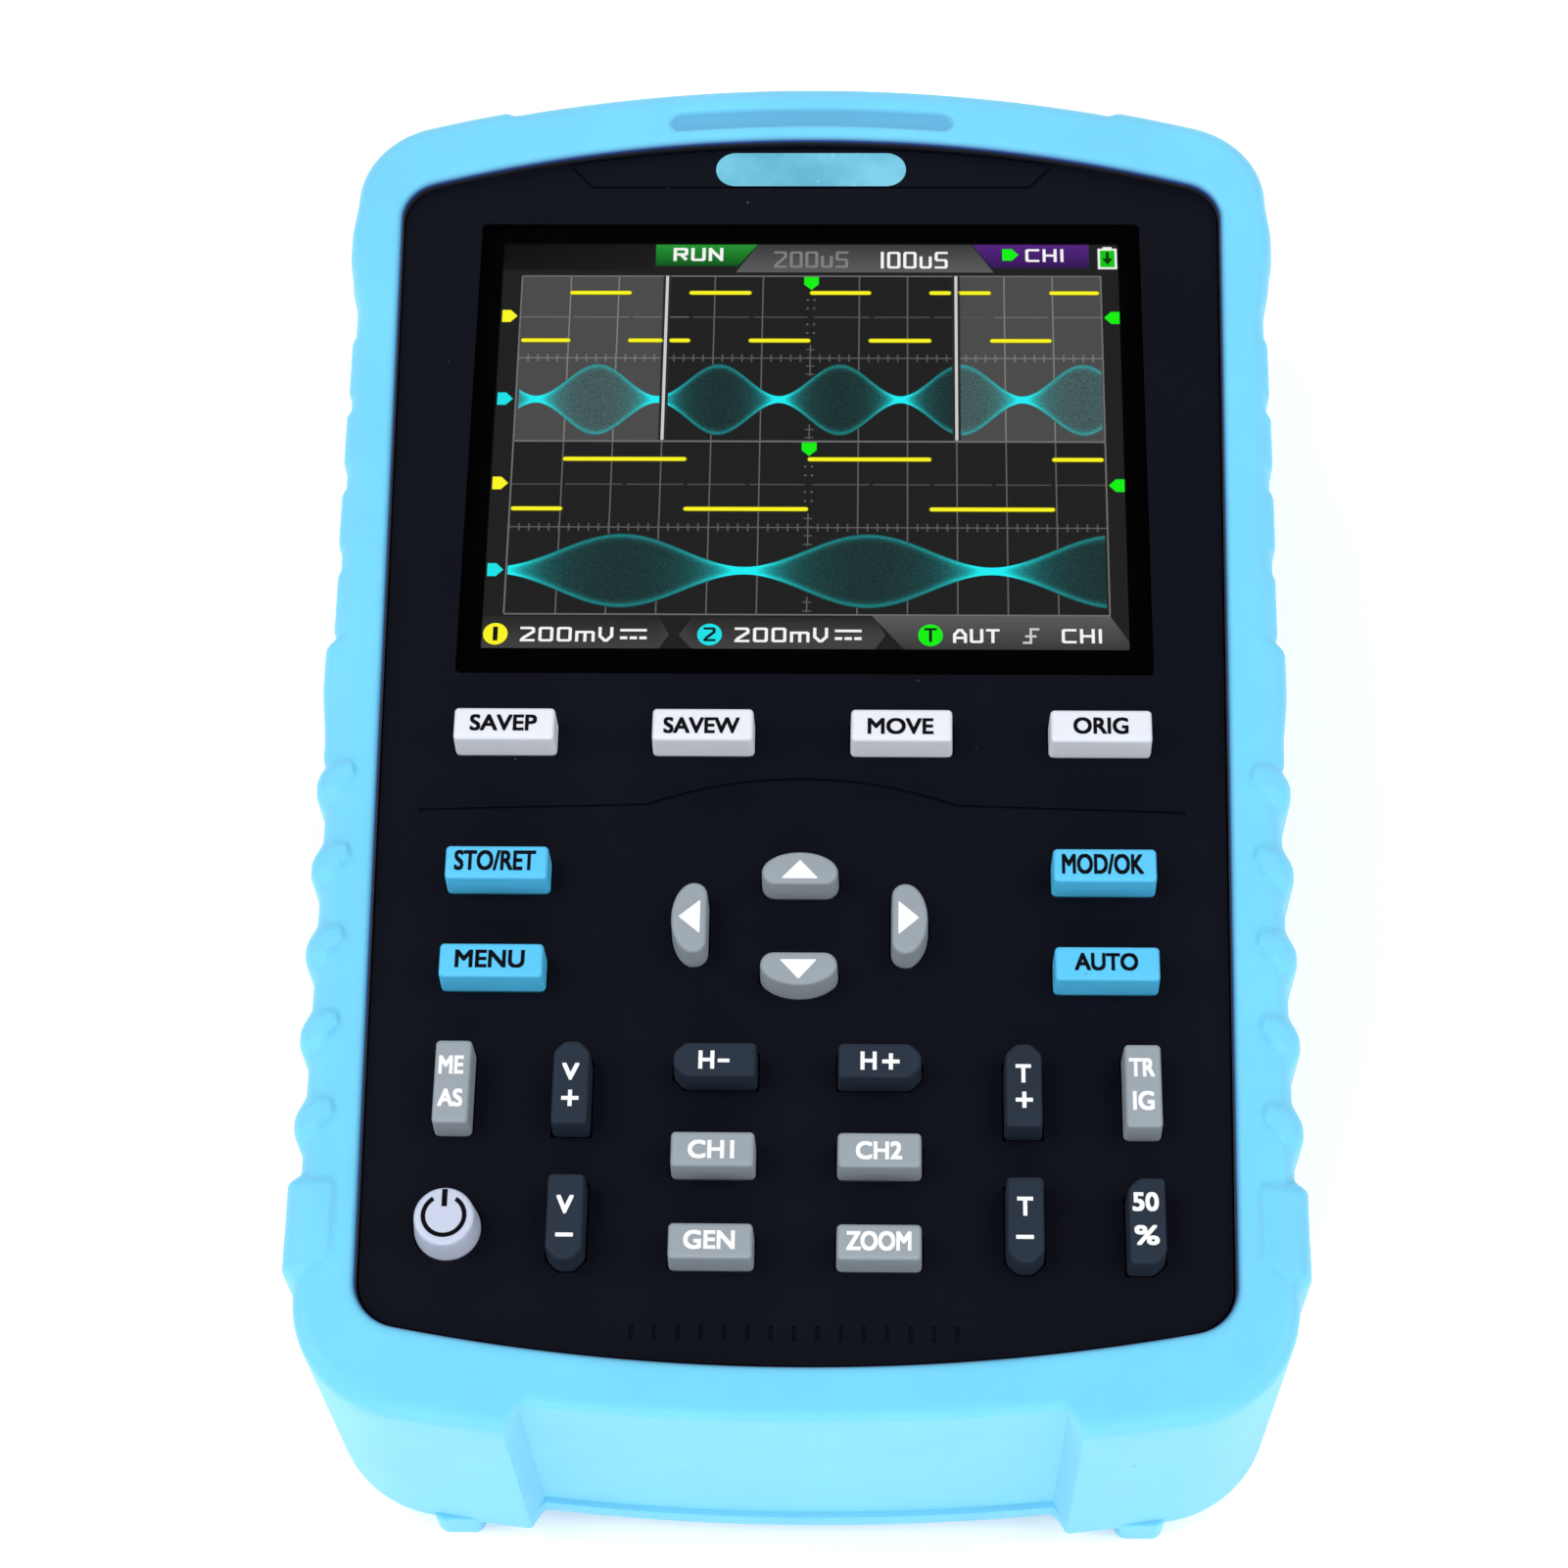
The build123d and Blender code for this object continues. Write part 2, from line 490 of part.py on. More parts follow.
def kickstand():
    """The stand: a plate with a barrel along its hinge edge and shallow grip grooves."""
    low = HINGE_Z - BARREL_R
    body = block((-STAND_HALF, STAND_HALF), (STAND_END, HINGE_Y), (low, low + STAND_THICK))
    body = fillet([e for e in body.edges().filter_by(Axis.Z) if e.center().Y < 0], STAND_CORNER)
    body += along_x((-STAND_HALF, STAND_HALF), HINGE_Y, HINGE_Z, BARREL_R)
    body -= along_x((-FAR, FAR), HINGE_Y, HINGE_Z, PIN_R + PIN_GAP)
    for i in range(GRIP_COUNT):
        body -= slab(GRIP, 0, STAND_END + GRIP_FROM + GRIP_STEP * i, low)
    return body - stand_pad()


def stand_pad():
    """The soft strip let into the free end of the stand, which grips the table."""
    return slab(PAD, 0, STAND_END + PAD_FROM + PAD[1] / 2, HINGE_Z - BARREL_R)


def display():
    """Lens, adhesive frame, display glass, its frame and the foam under it."""
    lens_width, lens_depth, lens_thick = LENS
    glass_top = PANEL - lens_thick - TAPE
    glass_under = glass_top - LCD_GLASS[2]
    frame_under = glass_under - LCD_FRAME[2]
    lens = rounded(
        lens_width, lens_depth, LENS_CORNER - LENS_GAP, 0, LENS_Y, (PANEL - lens_thick, PANEL)
    )
    gasket = rounded(*LCD_GLASS[:2], GLASS_CORNER, 0, LCD_Y, (glass_top, PANEL - lens_thick))
    gasket -= rounded(*LCD_ACTIVE, ACTIVE_CORNER, 0, LCD_Y, (glass_top - 1, PANEL))
    return {
        "screen_lens": lens,
        "screen_gasket": gasket,
        "lcd_glass": rounded(*LCD_GLASS[:2], GLASS_CORNER, 0, LCD_Y, (glass_under, glass_top)),
        "lcd_frame": rounded(*LCD_FRAME[:2], FRAME_CORNER, 0, LCD_Y, (frame_under, glass_under)),
        "display_foam": rounded(*LCD_FOAM, FRAME_CORNER, 0, LCD_Y, (BOARD_TOP, frame_under)),
    }


def board():
    """The circuit board, cut round the case bosses and drilled at the posts."""
    body = prism(BOOT, SHELL_INSET - SHELL_WALL - BOARD_ROOM, BOARD_UNDER, BOARD_TOP)
    body &= block((-FAR, FAR), BOARD_Y, (0, FAR))
    for side in SIDES:
        for x, y in BOSSES:
            body -= upright(side * x, y, (0, FAR), BOSS_R + BOSS_ROOM)
        for x, y in POSTS:
            body -= upright(side * x, y, (0, FAR), POST_HOLE + POST_ROOM)
    return body


def keypad_mat():
    """The silicone sheet on the board, open under each key's pill."""
    width, depth, corner, thick = MAT
    mat = rounded(width, depth, corner, 0, MAT_Y, (BOARD_TOP, BOARD_TOP + thick))
    for x, y, *_ in KEYS.values():
        mat -= upright(x, y, (0, FAR), PILL_R + PILL_ROOM)
    for side in SIDES:
        for x, y in POSTS:
            mat -= upright(side * x, y, (0, FAR), POST_R + MAT_ROOM)
        for x, y in BOSSES:
            mat -= upright(side * x, y, (0, FAR), BOSS_R + MAT_ROOM)
    return mat


def screw(x, y, seat, top, head_r, head_thick, shank_r):
    """A pan-head screw with a cross recess, driven upwards from its seat."""
    low = seat - head_thick
    body = upright(x, y, (low, seat), head_r)
    body = fillet(edges_at(body, low), HEAD_EDGE)
    body += upright(x, y, (seat, top), shank_r)
    arm, slot, deep = CROSS[0] * head_r, CROSS[1] * head_r, CROSS[2] * head_thick
    body -= block((x - arm, x + arm), (y - slot, y + slot), (low - 1, low + deep))
    body -= block((x - slot, x + slot), (y - arm, y + arm), (low - 1, low + deep))
    return body


def screws():
    """Case screws from the back, and board screws up into the posts."""
    case = (HEAD_SEAT, CASE_SCREW_TIP, HEAD_R, HEAD_THICK, BOSS_HOLE - SHANK_GAP)
    small = (BOARD_UNDER, SMALL_SCREW_TIP, SMALL_HEAD_R, SMALL_HEAD_THICK, POST_HOLE - SHANK_GAP)
    return {
        "case_screws": [screw(side * x, y, *case) for side in SIDES for x, y in BOSSES],
        "board_screws": [screw(side * x, y, *small) for side in SIDES for x, y in POSTS],
    }


def bnc_body(x):
    """A round bayonet socket: moulded block, threaded barrel, two lugs and the open mouth."""
    front = DECK + BNC_REACH
    back = DECK - DECK_WALL - BNC_BLOCK_DEPTH
    half = BNC_BLOCK / 2
    body = block((x - half, x + half), (back, DECK - DECK_WALL), (PARTING - half, PARTING + half))
    body = fillet(body.edges().filter_by(Axis.Y), BNC_BLOCK_EDGE)
    body += along_y(x, (DECK - DECK_WALL, front), PARTING, BNC_THREAD)
    mouth = front - BNC_RIM - BNC_MOUTH
    body += along_y(x, (mouth, front), PARTING, BNC_R)
    body = chamfer(body.edges().sort_by(Axis.Y)[-1], BNC_RIM)
    lug_y = front - BNC_LUG_BACK
    body += along_x((x - BNC_LUG_REACH, x + BNC_LUG_REACH), lug_y, PARTING, BNC_LUG_R)
    body -= along_y(x, (DECK + BNC_FLOOR, front + 1), PARTING, BNC_BORE)
    return body - along_y(x, (back + BNC_TAIL, DECK + BNC_FLOOR + 1), PARTING, BNC_CORE + CORE_GAP)


def sockets():
    """The round sockets with their insulators, contacts, washers and nuts."""
    front = DECK + BNC_REACH
    back = DECK - DECK_WALL - BNC_BLOCK_DEPTH
    washer = (DECK, DECK + WASHER_THICK)
    nut = (washer[1], washer[1] + NUT_THICK)
    parts = {name: [] for name in ("bodies", "insulators", "contacts", "washers", "nuts")}
    for x in BNC_X:
        thread = along_y(x, (DECK - 1, front), PARTING, BNC_THREAD + THREAD_GAP)
        core = along_y(x, (back + BNC_TAIL, front - CORE_BACK), PARTING, BNC_CORE)
        wire = along_y(x, (back + BNC_TAIL, front - CONTACT_BACK), PARTING, BNC_CONTACT)
        sleeve = along_y(x, (front - SLEEVE_DEPTH, FAR), PARTING, BNC_CONTACT * SLEEVE_BORE)
        hexagon = Rot(X=90) * extrude(RegularPolygon(NUT_FLATS / 2, 6, major_radius=False), NUT_THICK)
        hexagon = chamfer(hexagon.edges().group_by(Axis.Y)[-1], NUT_EDGE)
        parts["bodies"].append(bnc_body(x))
        parts["insulators"].append(core - along_y(x, (0, FAR), PARTING, BNC_CONTACT + CONTACT_GAP))
        parts["contacts"].append(wire - sleeve)
        parts["washers"].append(along_y(x, washer, PARTING, WASHER_R) - thread)
        parts["nuts"].append(Pos(x, nut[1], PARTING) * hexagon - thread)
    return {"bnc_" + name: solids for name, solids in parts.items()}


def usb_socket():
    """The small power and data socket: a drawn metal shell, and its tongue."""
    back = DECK - USB_DEPTH
    floor = back + USB_BACK
    width, thick, recess = USB_TONGUE
    shell = usb_slot((back, DECK), 0) - usb_slot((floor, DECK + 1), -USB_WALL)
    tongue = block(
        (USB_X - width / 2, USB_X + width / 2),
        (floor, DECK - recess),
        (USB_Z - thick / 2, USB_Z + thick / 2),
    )
    return {"usb_socket": shell, "usb_tongue": tongue}


def hung(size, x, y):
    """A box of a size on the board's under side."""
    return slab(size, x, y, BOARD_UNDER - size[2])


def board_parts():
    """Shields, chips, sounder, contacts and the battery's connector on the board."""
    width, depth, height = CAN
    hollow = (width - 2 * CAN_WALL, depth - 2 * CAN_WALL, height)
    cans = []
    for side in SIDES:
        can = hung(CAN, side * CAN_X, CAN_Y)
        can = fillet(can.edges().filter_by(Axis.Z), CAN_CORNER)
        cans.append(can - slab(hollow, side * CAN_X, CAN_Y, BOARD_UNDER - height + CAN_WALL))
    pads = [upright(x, y, (BOARD_TOP, BOARD_TOP + CONTACT), CONTACT_R) for x, y, *_ in KEYS.values()]
    sounder_low = BOARD_UNDER - SOUNDER_THICK
    port_r, port_depth = SOUNDER_PORT
    sounder = upright(0, SOUNDER_Y, (sounder_low, BOARD_UNDER), SOUNDER_R)
    sounder -= upright(0, SOUNDER_Y, (sounder_low - 1, sounder_low + port_depth), port_r)
    return {
        "shield_cans": cans,
        "processor_chip": hung(CHIP, 0, CHIP_Y),
        "memory_chips": [hung(MEMORY, side * MEMORY_X, MEMORY_Y) for side in SIDES],
        "sounder": sounder,
        "key_contacts": pads,
        "battery_connector": hung(PLUG, sum(LEAD_X) / 2, LEAD_Y),
    }


def battery():
    """The flat cell pack, its tape and its two leads to the board."""
    roof = POCKET_ROOF + POCKET_WALL
    floor = roof + PACK_TAPE[2]
    pack = slab(PACK, 0, PACK_END - PACK[1] / 2, floor)
    pack = fillet(pack.edges().filter_by(Axis.Y), PACK_ROUND)
    lead_z = floor + PACK[2] - LEAD_DROP
    leads = []
    for x in LEAD_X:
        route = ((x, PACK_END, lead_z), (x, LEAD_Y, lead_z), (x, LEAD_Y, BOARD_UNDER - PLUG[2]))
        path = FilletPolyline(*route, radius=LEAD_BEND)
        leads.append(sweep(Plane(origin=path @ 0, z_dir=path % 0) * Circle(LEAD_R), path=path))
    return {
        "battery_pack": pack,
        "battery_tape": slab(PACK_TAPE, 0, PACK_TAPE_Y, roof),
        "battery_leads": leads,
    }


def make_parts():
    """Every node by name: a solid, or a list of solids."""
    parts = {
        "protective_boot": boot(),
        "front_shell": front_shell(),
        "rear_shell": rear_shell(),
        "badge_inlay": badge(0, PANEL),
        "main_board": board(),
        "keypad_mat": keypad_mat(),
        "kickstand": kickstand(),
        "stand_pad": stand_pad(),
        "stand_pin": along_x((-PIN_HALF, PIN_HALF), HINGE_Y, HINGE_Z, PIN_R),
    }
    for group in (display(), screws(), sockets(), usb_socket(), board_parts(), battery()):
        parts.update(group)
    for name, layout in KEYS.items():
        parts[name] = key(*layout)
    return parts


def solids_of(shape):
    """The separate solids of a node."""
    shapes = shape if isinstance(shape, list) else [shape]
    return [solid for item in shapes for solid in item.solids()]


def main():
    parts = {name: solids_of(shape) for name, shape in make_parts().items()}
    box = Compound([solid for solids in parts.values() for solid in solids]).bounding_box()
    shift = Pos(0, -(box.min.Y + box.max.Y) / 2, 0)
    os.makedirs("parts", exist_ok=True)
    for name, solids in parts.items():
        moved = [shift * solid for solid in solids]
        shape = moved[0] if len(moved) == 1 else Compound(moved)
        export_step(shape, f"parts/{name}.step")
    print(f"{len(parts)} nodes; moved {shift.position.Y:.3f} mm along Y; size {box.size}")


main()
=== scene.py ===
import json
import math

import bmesh
import bpy
import numpy as np
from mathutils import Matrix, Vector

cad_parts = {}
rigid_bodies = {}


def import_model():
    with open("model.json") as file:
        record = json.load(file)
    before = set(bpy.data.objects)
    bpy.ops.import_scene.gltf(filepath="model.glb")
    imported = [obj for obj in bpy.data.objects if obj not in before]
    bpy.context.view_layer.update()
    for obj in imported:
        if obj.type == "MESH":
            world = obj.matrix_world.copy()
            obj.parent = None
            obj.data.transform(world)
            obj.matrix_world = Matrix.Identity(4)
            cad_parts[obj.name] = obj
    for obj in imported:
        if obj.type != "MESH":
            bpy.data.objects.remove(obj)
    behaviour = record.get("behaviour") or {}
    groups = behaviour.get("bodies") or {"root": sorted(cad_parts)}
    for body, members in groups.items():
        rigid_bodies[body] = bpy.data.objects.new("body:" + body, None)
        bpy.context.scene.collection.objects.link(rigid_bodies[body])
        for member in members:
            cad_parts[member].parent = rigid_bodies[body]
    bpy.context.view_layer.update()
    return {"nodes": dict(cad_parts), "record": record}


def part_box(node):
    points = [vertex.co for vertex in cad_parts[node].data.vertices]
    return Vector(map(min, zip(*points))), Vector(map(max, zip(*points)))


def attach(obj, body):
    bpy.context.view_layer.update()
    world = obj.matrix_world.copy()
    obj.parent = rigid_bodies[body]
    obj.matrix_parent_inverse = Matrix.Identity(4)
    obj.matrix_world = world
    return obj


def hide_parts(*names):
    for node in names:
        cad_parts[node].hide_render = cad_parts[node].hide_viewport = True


# A handheld oscilloscope in its rubber boot, lying on its back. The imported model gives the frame.
# Lengths here are millimetres in the drawing frame of the model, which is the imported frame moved
# along Y, and at() takes a point from it to Blender's metres.

for leftover in list(bpy.data.objects):
    bpy.data.objects.remove(leftover)
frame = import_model()

MM = 0.001
LCD_Y = 27.05  # middle of the display glass in the drawing frame
glass_low, glass_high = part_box("lcd_glass")
SHIFT = (glass_low.y + glass_high.y) / 2 / MM - LCD_Y
LCD_TOP = glass_high.z / MM
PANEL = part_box("screen_lens")[1].z / MM
LENS_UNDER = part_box("screen_lens")[0].z / MM
KEY_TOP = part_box("key_menu")[1].z / MM
LIP, FOOT = 33.6, 2.0  # heights of the boot's lip and of its back
SIDES = (-1, 1)


def at(x, y, z):
    """A point of the drawing frame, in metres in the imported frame."""
    return Vector((x * MM, (y + SHIFT) * MM, z * MM))


def smooth(low, high, v):
    """0 below low, 1 above high, and a smooth step between; low may be above high."""
    t = np.clip((v - low) / (high - low), 0, 1)
    return t * t * (3 - 2 * t)


def band(v, low, high, soft_low, soft_high):
    """1 between low and high and 0 beyond, with borders that reach soft to either side."""
    return smooth(high + soft_high, high - soft_high, v) * smooth(low - soft_low, low + soft_low, v)


def arc(x, y, radius, turns):
    """Points of a circle at these turns, in radians."""
    return [(x + radius * math.cos(t), y + radius * math.sin(t)) for t in turns]


def quarter(start, count):
    """The turns of a quarter circle from a start in degrees."""
    return np.radians(np.linspace(start, start + 90, count))


# ---------------------------------------------------------------------------- materials


class Nodes:
    """Builds one material's node tree, with short calls for the nodes used here."""

    def __init__(self, name):
        self.material = bpy.data.materials.new(name)
        self.material.use_nodes = True
        self.tree = self.material.node_tree
        self.shader = self.tree.nodes["Principled BSDF"]
        self.coords = self.new("ShaderNodeTexCoord").outputs["Object"]

    def new(self, kind, **settings):
        node = self.tree.nodes.new(kind)
        for key, value in settings.items():
            setattr(node, key, value)
        return node

    def link(self, source, target):
        if isinstance(source, (int, float)):
            target.default_value = source
        elif isinstance(source, (tuple, list)):
            target.default_value = (*source, 1.0)[: len(target.default_value)]
        else:
            self.tree.links.new(source, target)

    def noise(self, scale, detail=2.0, rough=0.5, stretch=None):
        """A noise value about 0.5, at a number of bumps per metre."""
        node = self.new("ShaderNodeTexNoise")
        node.inputs["Scale"].default_value = scale
        node.inputs["Detail"].default_value = detail
        node.inputs["Roughness"].default_value = rough
        coords = self.coords
        if stretch:
            mapping = self.new("ShaderNodeMapping")
            mapping.inputs["Scale"].default_value = stretch
            self.link(coords, mapping.inputs["Vector"])
            coords = mapping.outputs["Vector"]
        self.link(coords, node.inputs["Vector"])
        return node.outputs["Fac"]

    def specks(self, scale, size):
        """1 in small round specks scattered through the material, 0 elsewhere."""
        cells = self.new("ShaderNodeTexVoronoi")
        cells.inputs["Scale"].default_value = scale
        self.link(self.coords, cells.inputs["Vector"])
        return self.ramp(cells.outputs["Distance"], (size, size * 0.6), (0, 1))

    def ramp(self, value, stops, outputs):
        """Maps value from one range to another, clamped."""
        node = self.new("ShaderNodeMapRange")
        self.link(value, node.inputs["Value"])
        for key, number in zip(("From Min", "From Max", "To Min", "To Max"), (*stops, *outputs)):
            node.inputs[key].default_value = number
        return node.outputs["Result"]

    def math(self, operation, a, b=0.0):
        node = self.new("ShaderNodeMath", operation=operation)
        self.link(a, node.inputs[0])
        self.link(b, node.inputs[1])
        return node.outputs["Value"]

    def mix(self, factor, a, b):
        node = self.new("ShaderNodeMix", data_type="RGBA")
        self.link(factor, node.inputs["Factor"])
        self.link(a, node.inputs[6])
        self.link(b, node.inputs[7])
        return node.outputs[2]

    def bump(self, height, distance, strength):
        """Bumps as high as distance, in metres, chained after any that are there."""
        node = self.new("ShaderNodeBump")
        node.inputs["Strength"].default_value = strength
        node.inputs["Distance"].default_value = distance
        self.link(height, node.inputs["Height"])
        links = self.shader.inputs["Normal"].links
        if links:
            self.link(links[0].from_socket, node.inputs["Normal"])
        self.link(node.outputs["Normal"], self.shader.inputs["Normal"])

    def set(self, **values):
        """Sets or links the shader's sockets: base, rough, metal and so on."""
        names = {
            "base": "Base Color",
            "rough": "Roughness",
            "metal": "Metallic",
            "specular": "Specular IOR Level",
            "coat": "Coat Weight",
            "coat_rough": "Coat Roughness",
            "sheen": "Sheen Weight",
            "sheen_rough": "Sheen Roughness",
            "glow": "Emission Color",
            "glow_strength": "Emission Strength",
            "through": "Transmission Weight",
            "ior": "IOR",
            "under": "Subsurface Weight",
            "under_radius": "Subsurface Radius",
            "under_scale": "Subsurface Scale",
        }
        for key, value in values.items():
            self.link(value, self.shader.inputs[names[key]])


def srgb(r, g, b):
    """A colour given as 0 to 255 sRGB values, as linear light."""
    return tuple(
        c / 12.92 if c <= 0.04045 else ((c + 0.055) / 1.055) ** 2.4 for c in (r / 255, g / 255, b / 255)
    )


def shade(colour, factor):
    return tuple(min(1.0, c * factor) for c in colour)


LIGHT = 1.35  # what the lamps bring to a level surface, against a plain white at 1


def paint(r, g, b):
    """The surface colour that shows as this sRGB colour under the lamps."""
    return shade(srgb(r, g, b), 1 / LIGHT)


def rubber(
    name,
    colour,
    mottle=0.06,
    grain=9000,
    depth=0.00002,
    rough=0.5,
    sheen=0.0,
    under=0.0,
    specular=0.5,
    lip_shade=None,
):
    """Moulded rubber or silicone: faint mottling, fine grain, a few dark specks, soft gloss.

    With a lip shade colour, it turns to that colour where the mesh's painted-shade value is 1, and nearly
    black at 2: painted shade for the lip's roll down to the panel and for the boot's inside, which fall in
    shadow."""
    n = Nodes(name)
    cloud = n.noise(90, 4.0, 0.55)
    fine = n.noise(grain, 2.0)
    base = n.mix(n.ramp(cloud, (0.3, 0.7), (0, 1)), shade(colour, 1 - mottle), shade(colour, 1 + mottle))
    dirt = n.math("MULTIPLY", n.specks(140, 0.035), n.ramp(n.noise(60, 1.0), (0.52, 0.6), (0, 0.5)))
    base = n.mix(dirt, base, shade(colour, 0.25))
    # Painted shade: the colour darkens to the lip shade colour and then to nearly black as the
    # painted-shade value rises, standing in for shadow on the lip's roll and inside the boot.
    if lip_shade:
        painted_shade = n.new("ShaderNodeAttribute", attribute_name="painted_shade").outputs["Fac"]
        base = n.mix(n.ramp(painted_shade, (0.0, 1.0), (0, 1)), base, lip_shade)
        base = n.mix(n.ramp(painted_shade, (1.0, 1.8), (0, 1)), base, shade(lip_shade, 0.02))
    n.set(base=base, rough=n.ramp(fine, (0.3, 0.7), (rough - 0.05, rough + 0.07)), specular=specular)
    if sheen:
        n.set(sheen=sheen, sheen_rough=0.45)
    if under:
        n.set(under=under, under_radius=(0.3, 0.8, 1.0), under_scale=0.0012)
    n.bump(n.noise(420, 3.0), 0.00006, 0.35)
    n.bump(fine, depth, 0.6)
    return n.material


def moulded(name, colour, grain=7000, depth=0.00003, rough=0.42, coat=0.0, specular=0.5):
    """Moulded plastic: a spark-eroded grain, slow gloss variation, and dust."""
    n = Nodes(name)
    cloud = n.noise(45, 3.0)
    fine = n.noise(grain, 3.0, 0.6)
    base = n.mix(n.ramp(cloud, (0.35, 0.65), (0, 1)), shade(colour, 0.93), shade(colour, 1.07))
    dust = n.math("MULTIPLY", n.specks(260, 0.03), n.ramp(n.noise(35, 1.0), (0.56, 0.62), (0, 0.35)))
    base = n.mix(dust, base, srgb(120, 126, 138))
    n.set(base=base, rough=n.ramp(cloud, (0.3, 0.7), (rough - 0.04, rough + 0.05)), specular=specular)
    if coat:
        n.set(coat=coat, coat_rough=0.15)
    n.bump(fine, depth, 0.6)
    return n.material


def metal(name, colour, rough, brush=(1, 1, 1)):
    """Plated or drawn metal: brushed streaks along one direction and small dents."""
    n = Nodes(name)
    streak = n.noise(1800, 4.0, 0.65, stretch=brush)
    cloud = n.noise(220, 3.0)
    base = n.mix(n.ramp(cloud, (0.3, 0.7), (0, 1)), shade(colour, 0.86), shade(colour, 1.05))
    n.set(base=base, metal=1.0, rough=n.ramp(streak, (0.3, 0.7), (rough - 0.09, rough + 0.12)))
    n.bump(streak, 0.000006, 0.5)
    n.bump(cloud, 0.00002, 0.25)
    return n.material


BLUE = paint(112, 214, 252)
# Navy painted shade for the boot's lip roll, where it falls in shadow next to the panel.
LIP_SHADE_BLUE = paint(6, 70, 150)
BOOT_RUBBER = rubber(
    "boot_rubber_look", BLUE, mottle=0.035, rough=0.55, sheen=0.12, under=0.15, lip_shade=LIP_SHADE_BLUE
)
PANEL_PLASTIC = moulded(
    "panel_look", paint(11, 13, 24), grain=6500, depth=0.00002, rough=0.5, specular=0.05
)
REAR_PLASTIC = moulded("rear_look", paint(30, 32, 40), grain=2600, depth=0.00009, rough=0.55)
PAD_RUBBER = rubber("pad_look", paint(38, 39, 42), rough=0.7, depth=0.00004)
STEEL = metal("steel_look", paint(190, 192, 196), 0.3, brush=(0.15, 1, 1))
NICKEL = metal("nickel_look", paint(206, 203, 196), 0.2, brush=(1, 0.12, 1))
GOLD = metal("gold_look", paint(232, 190, 98), 0.26)
TAPE = rubber("tape_look", paint(7, 7, 8), grain=3000, depth=0.00008, rough=0.9, specular=0.02)
DISPLAY = moulded("display_look", paint(6, 6, 7), rough=0.6, specular=0.02)
BOARD = moulded("board_look", paint(22, 96, 52), grain=1500, depth=0.00002, rough=0.35, coat=0.3)
KEYPAD = rubber("keypad_look", paint(136, 139, 144), rough=0.6)
CHIP = moulded("chip_look", paint(30, 30, 33), grain=5000, rough=0.5)
WRAP = moulded("wrap_look", paint(60, 110, 170), grain=900, depth=0.00003, rough=0.3, coat=0.2)
WHITE_PLASTIC = moulded("white_look", paint(232, 230, 222), rough=0.35)
LEAD = rubber("lead_look", paint(190, 40, 32), rough=0.45)
KEY_LOOKS = {
    "key_white": rubber("key_white_look", paint(232, 235, 244), mottle=0.015, rough=0.5, under=0.2),
    "key_blue": rubber("key_blue_look", paint(82, 200, 250), mottle=0.03, rough=0.5, under=0.1),
    "key_grey": rubber("key_grey_look", paint(150, 160, 168), mottle=0.02, rough=0.52),
    "key_slate": rubber("key_slate_look", paint(38, 48, 62), mottle=0.04, rough=0.55, specular=0.1),
    "key_power": rubber("key_power_look", paint(202, 210, 232), mottle=0.015, rough=0.45, under=0.2),
}


def lens_look():
    """Clear window: hard gloss, slightly smeared, that lets lamps through."""
    n = Nodes("lens_look")
    n.set(base=(1.0, 1.0, 1.0), rough=0.02, through=1.0, ior=1.07)
    out = n.tree.nodes["Material Output"]
    path = n.new("ShaderNodeLightPath")
    clear = n.new("ShaderNodeBsdfTransparent")
    mix = n.new("ShaderNodeMixShader")
    n.link(path.outputs["Is Shadow Ray"], mix.inputs[0])
    n.link(n.shader.outputs[0], mix.inputs[1])
    n.link(clear.outputs[0], mix.inputs[2])
    n.link(mix.outputs[0], out.inputs["Surface"])
    n.bump(n.noise(300, 2.0), 0.000002, 0.2)
    return n.material


def badge_look():
    """Light blue inlay: a satin face with cloudy mottling and a few bright flecks."""
    n = Nodes("badge_look")
    cloud = n.noise(160, 5.0, 0.6)
    flecks = n.ramp(n.noise(700, 2.0), (0.66, 0.74), (0, 0.5))
    base = n.mix(n.ramp(cloud, (0.35, 0.65), (0, 1)), paint(96, 180, 208), paint(122, 205, 232))
    base = n.mix(flecks, base, paint(160, 235, 250))
    n.set(base=base, rough=n.ramp(cloud, (0.3, 0.7), (0.3, 0.42)))
    n.bump(cloud, 0.00002, 0.3)
    return n.material


NODES_OF = (
    (BOOT_RUBBER, "protective_boot"),
    (PANEL_PLASTIC, "front_shell"),
    (REAR_PLASTIC, "rear_shell kickstand"),
    (lens_look(), "screen_lens"),
    (badge_look(), "badge_inlay"),
    (TAPE, "screen_gasket display_foam battery_tape"),
    (DISPLAY, "lcd_glass"),
    (STEEL, "lcd_frame shield_cans usb_socket case_screws board_screws stand_pin"),
    (BOARD, "main_board"),
    (GOLD, "key_contacts bnc_contacts"),
    (KEYPAD, "keypad_mat"),
    (CHIP, "processor_chip memory_chips sounder usb_tongue"),
    (WRAP, "battery_pack"),
    (WHITE_PLASTIC, "battery_connector bnc_insulators"),
    (LEAD, "battery_leads"),
    (NICKEL, "bnc_bodies bnc_washers bnc_nuts"),
    (PAD_RUBBER, "stand_pad"),
)
LOOKS = {name: look for look, names in NODES_OF for name in names.split()}
SLOT_OF = {part["node"]: part["material_slot"] for part in frame["record"]["subparts"]}
for name, node in frame["nodes"].items():
    look = LOOKS.get(name) or KEY_LOOKS[SLOT_OF[name]]
    for i in range(len(node.data.materials)):
        node.material_slots[i].material = look


# ---------------------------------------------------------------------------- mesh helpers


def add_piece(name, mesh, material, body="instrument"):
    """A new object from a mesh in metres, riding on a body."""
    piece = bpy.data.objects.new(name, mesh)
    bpy.context.scene.collection.objects.link(piece)
    mesh.materials.clear()
    mesh.materials.append(material)
    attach(piece, body)
    return piece


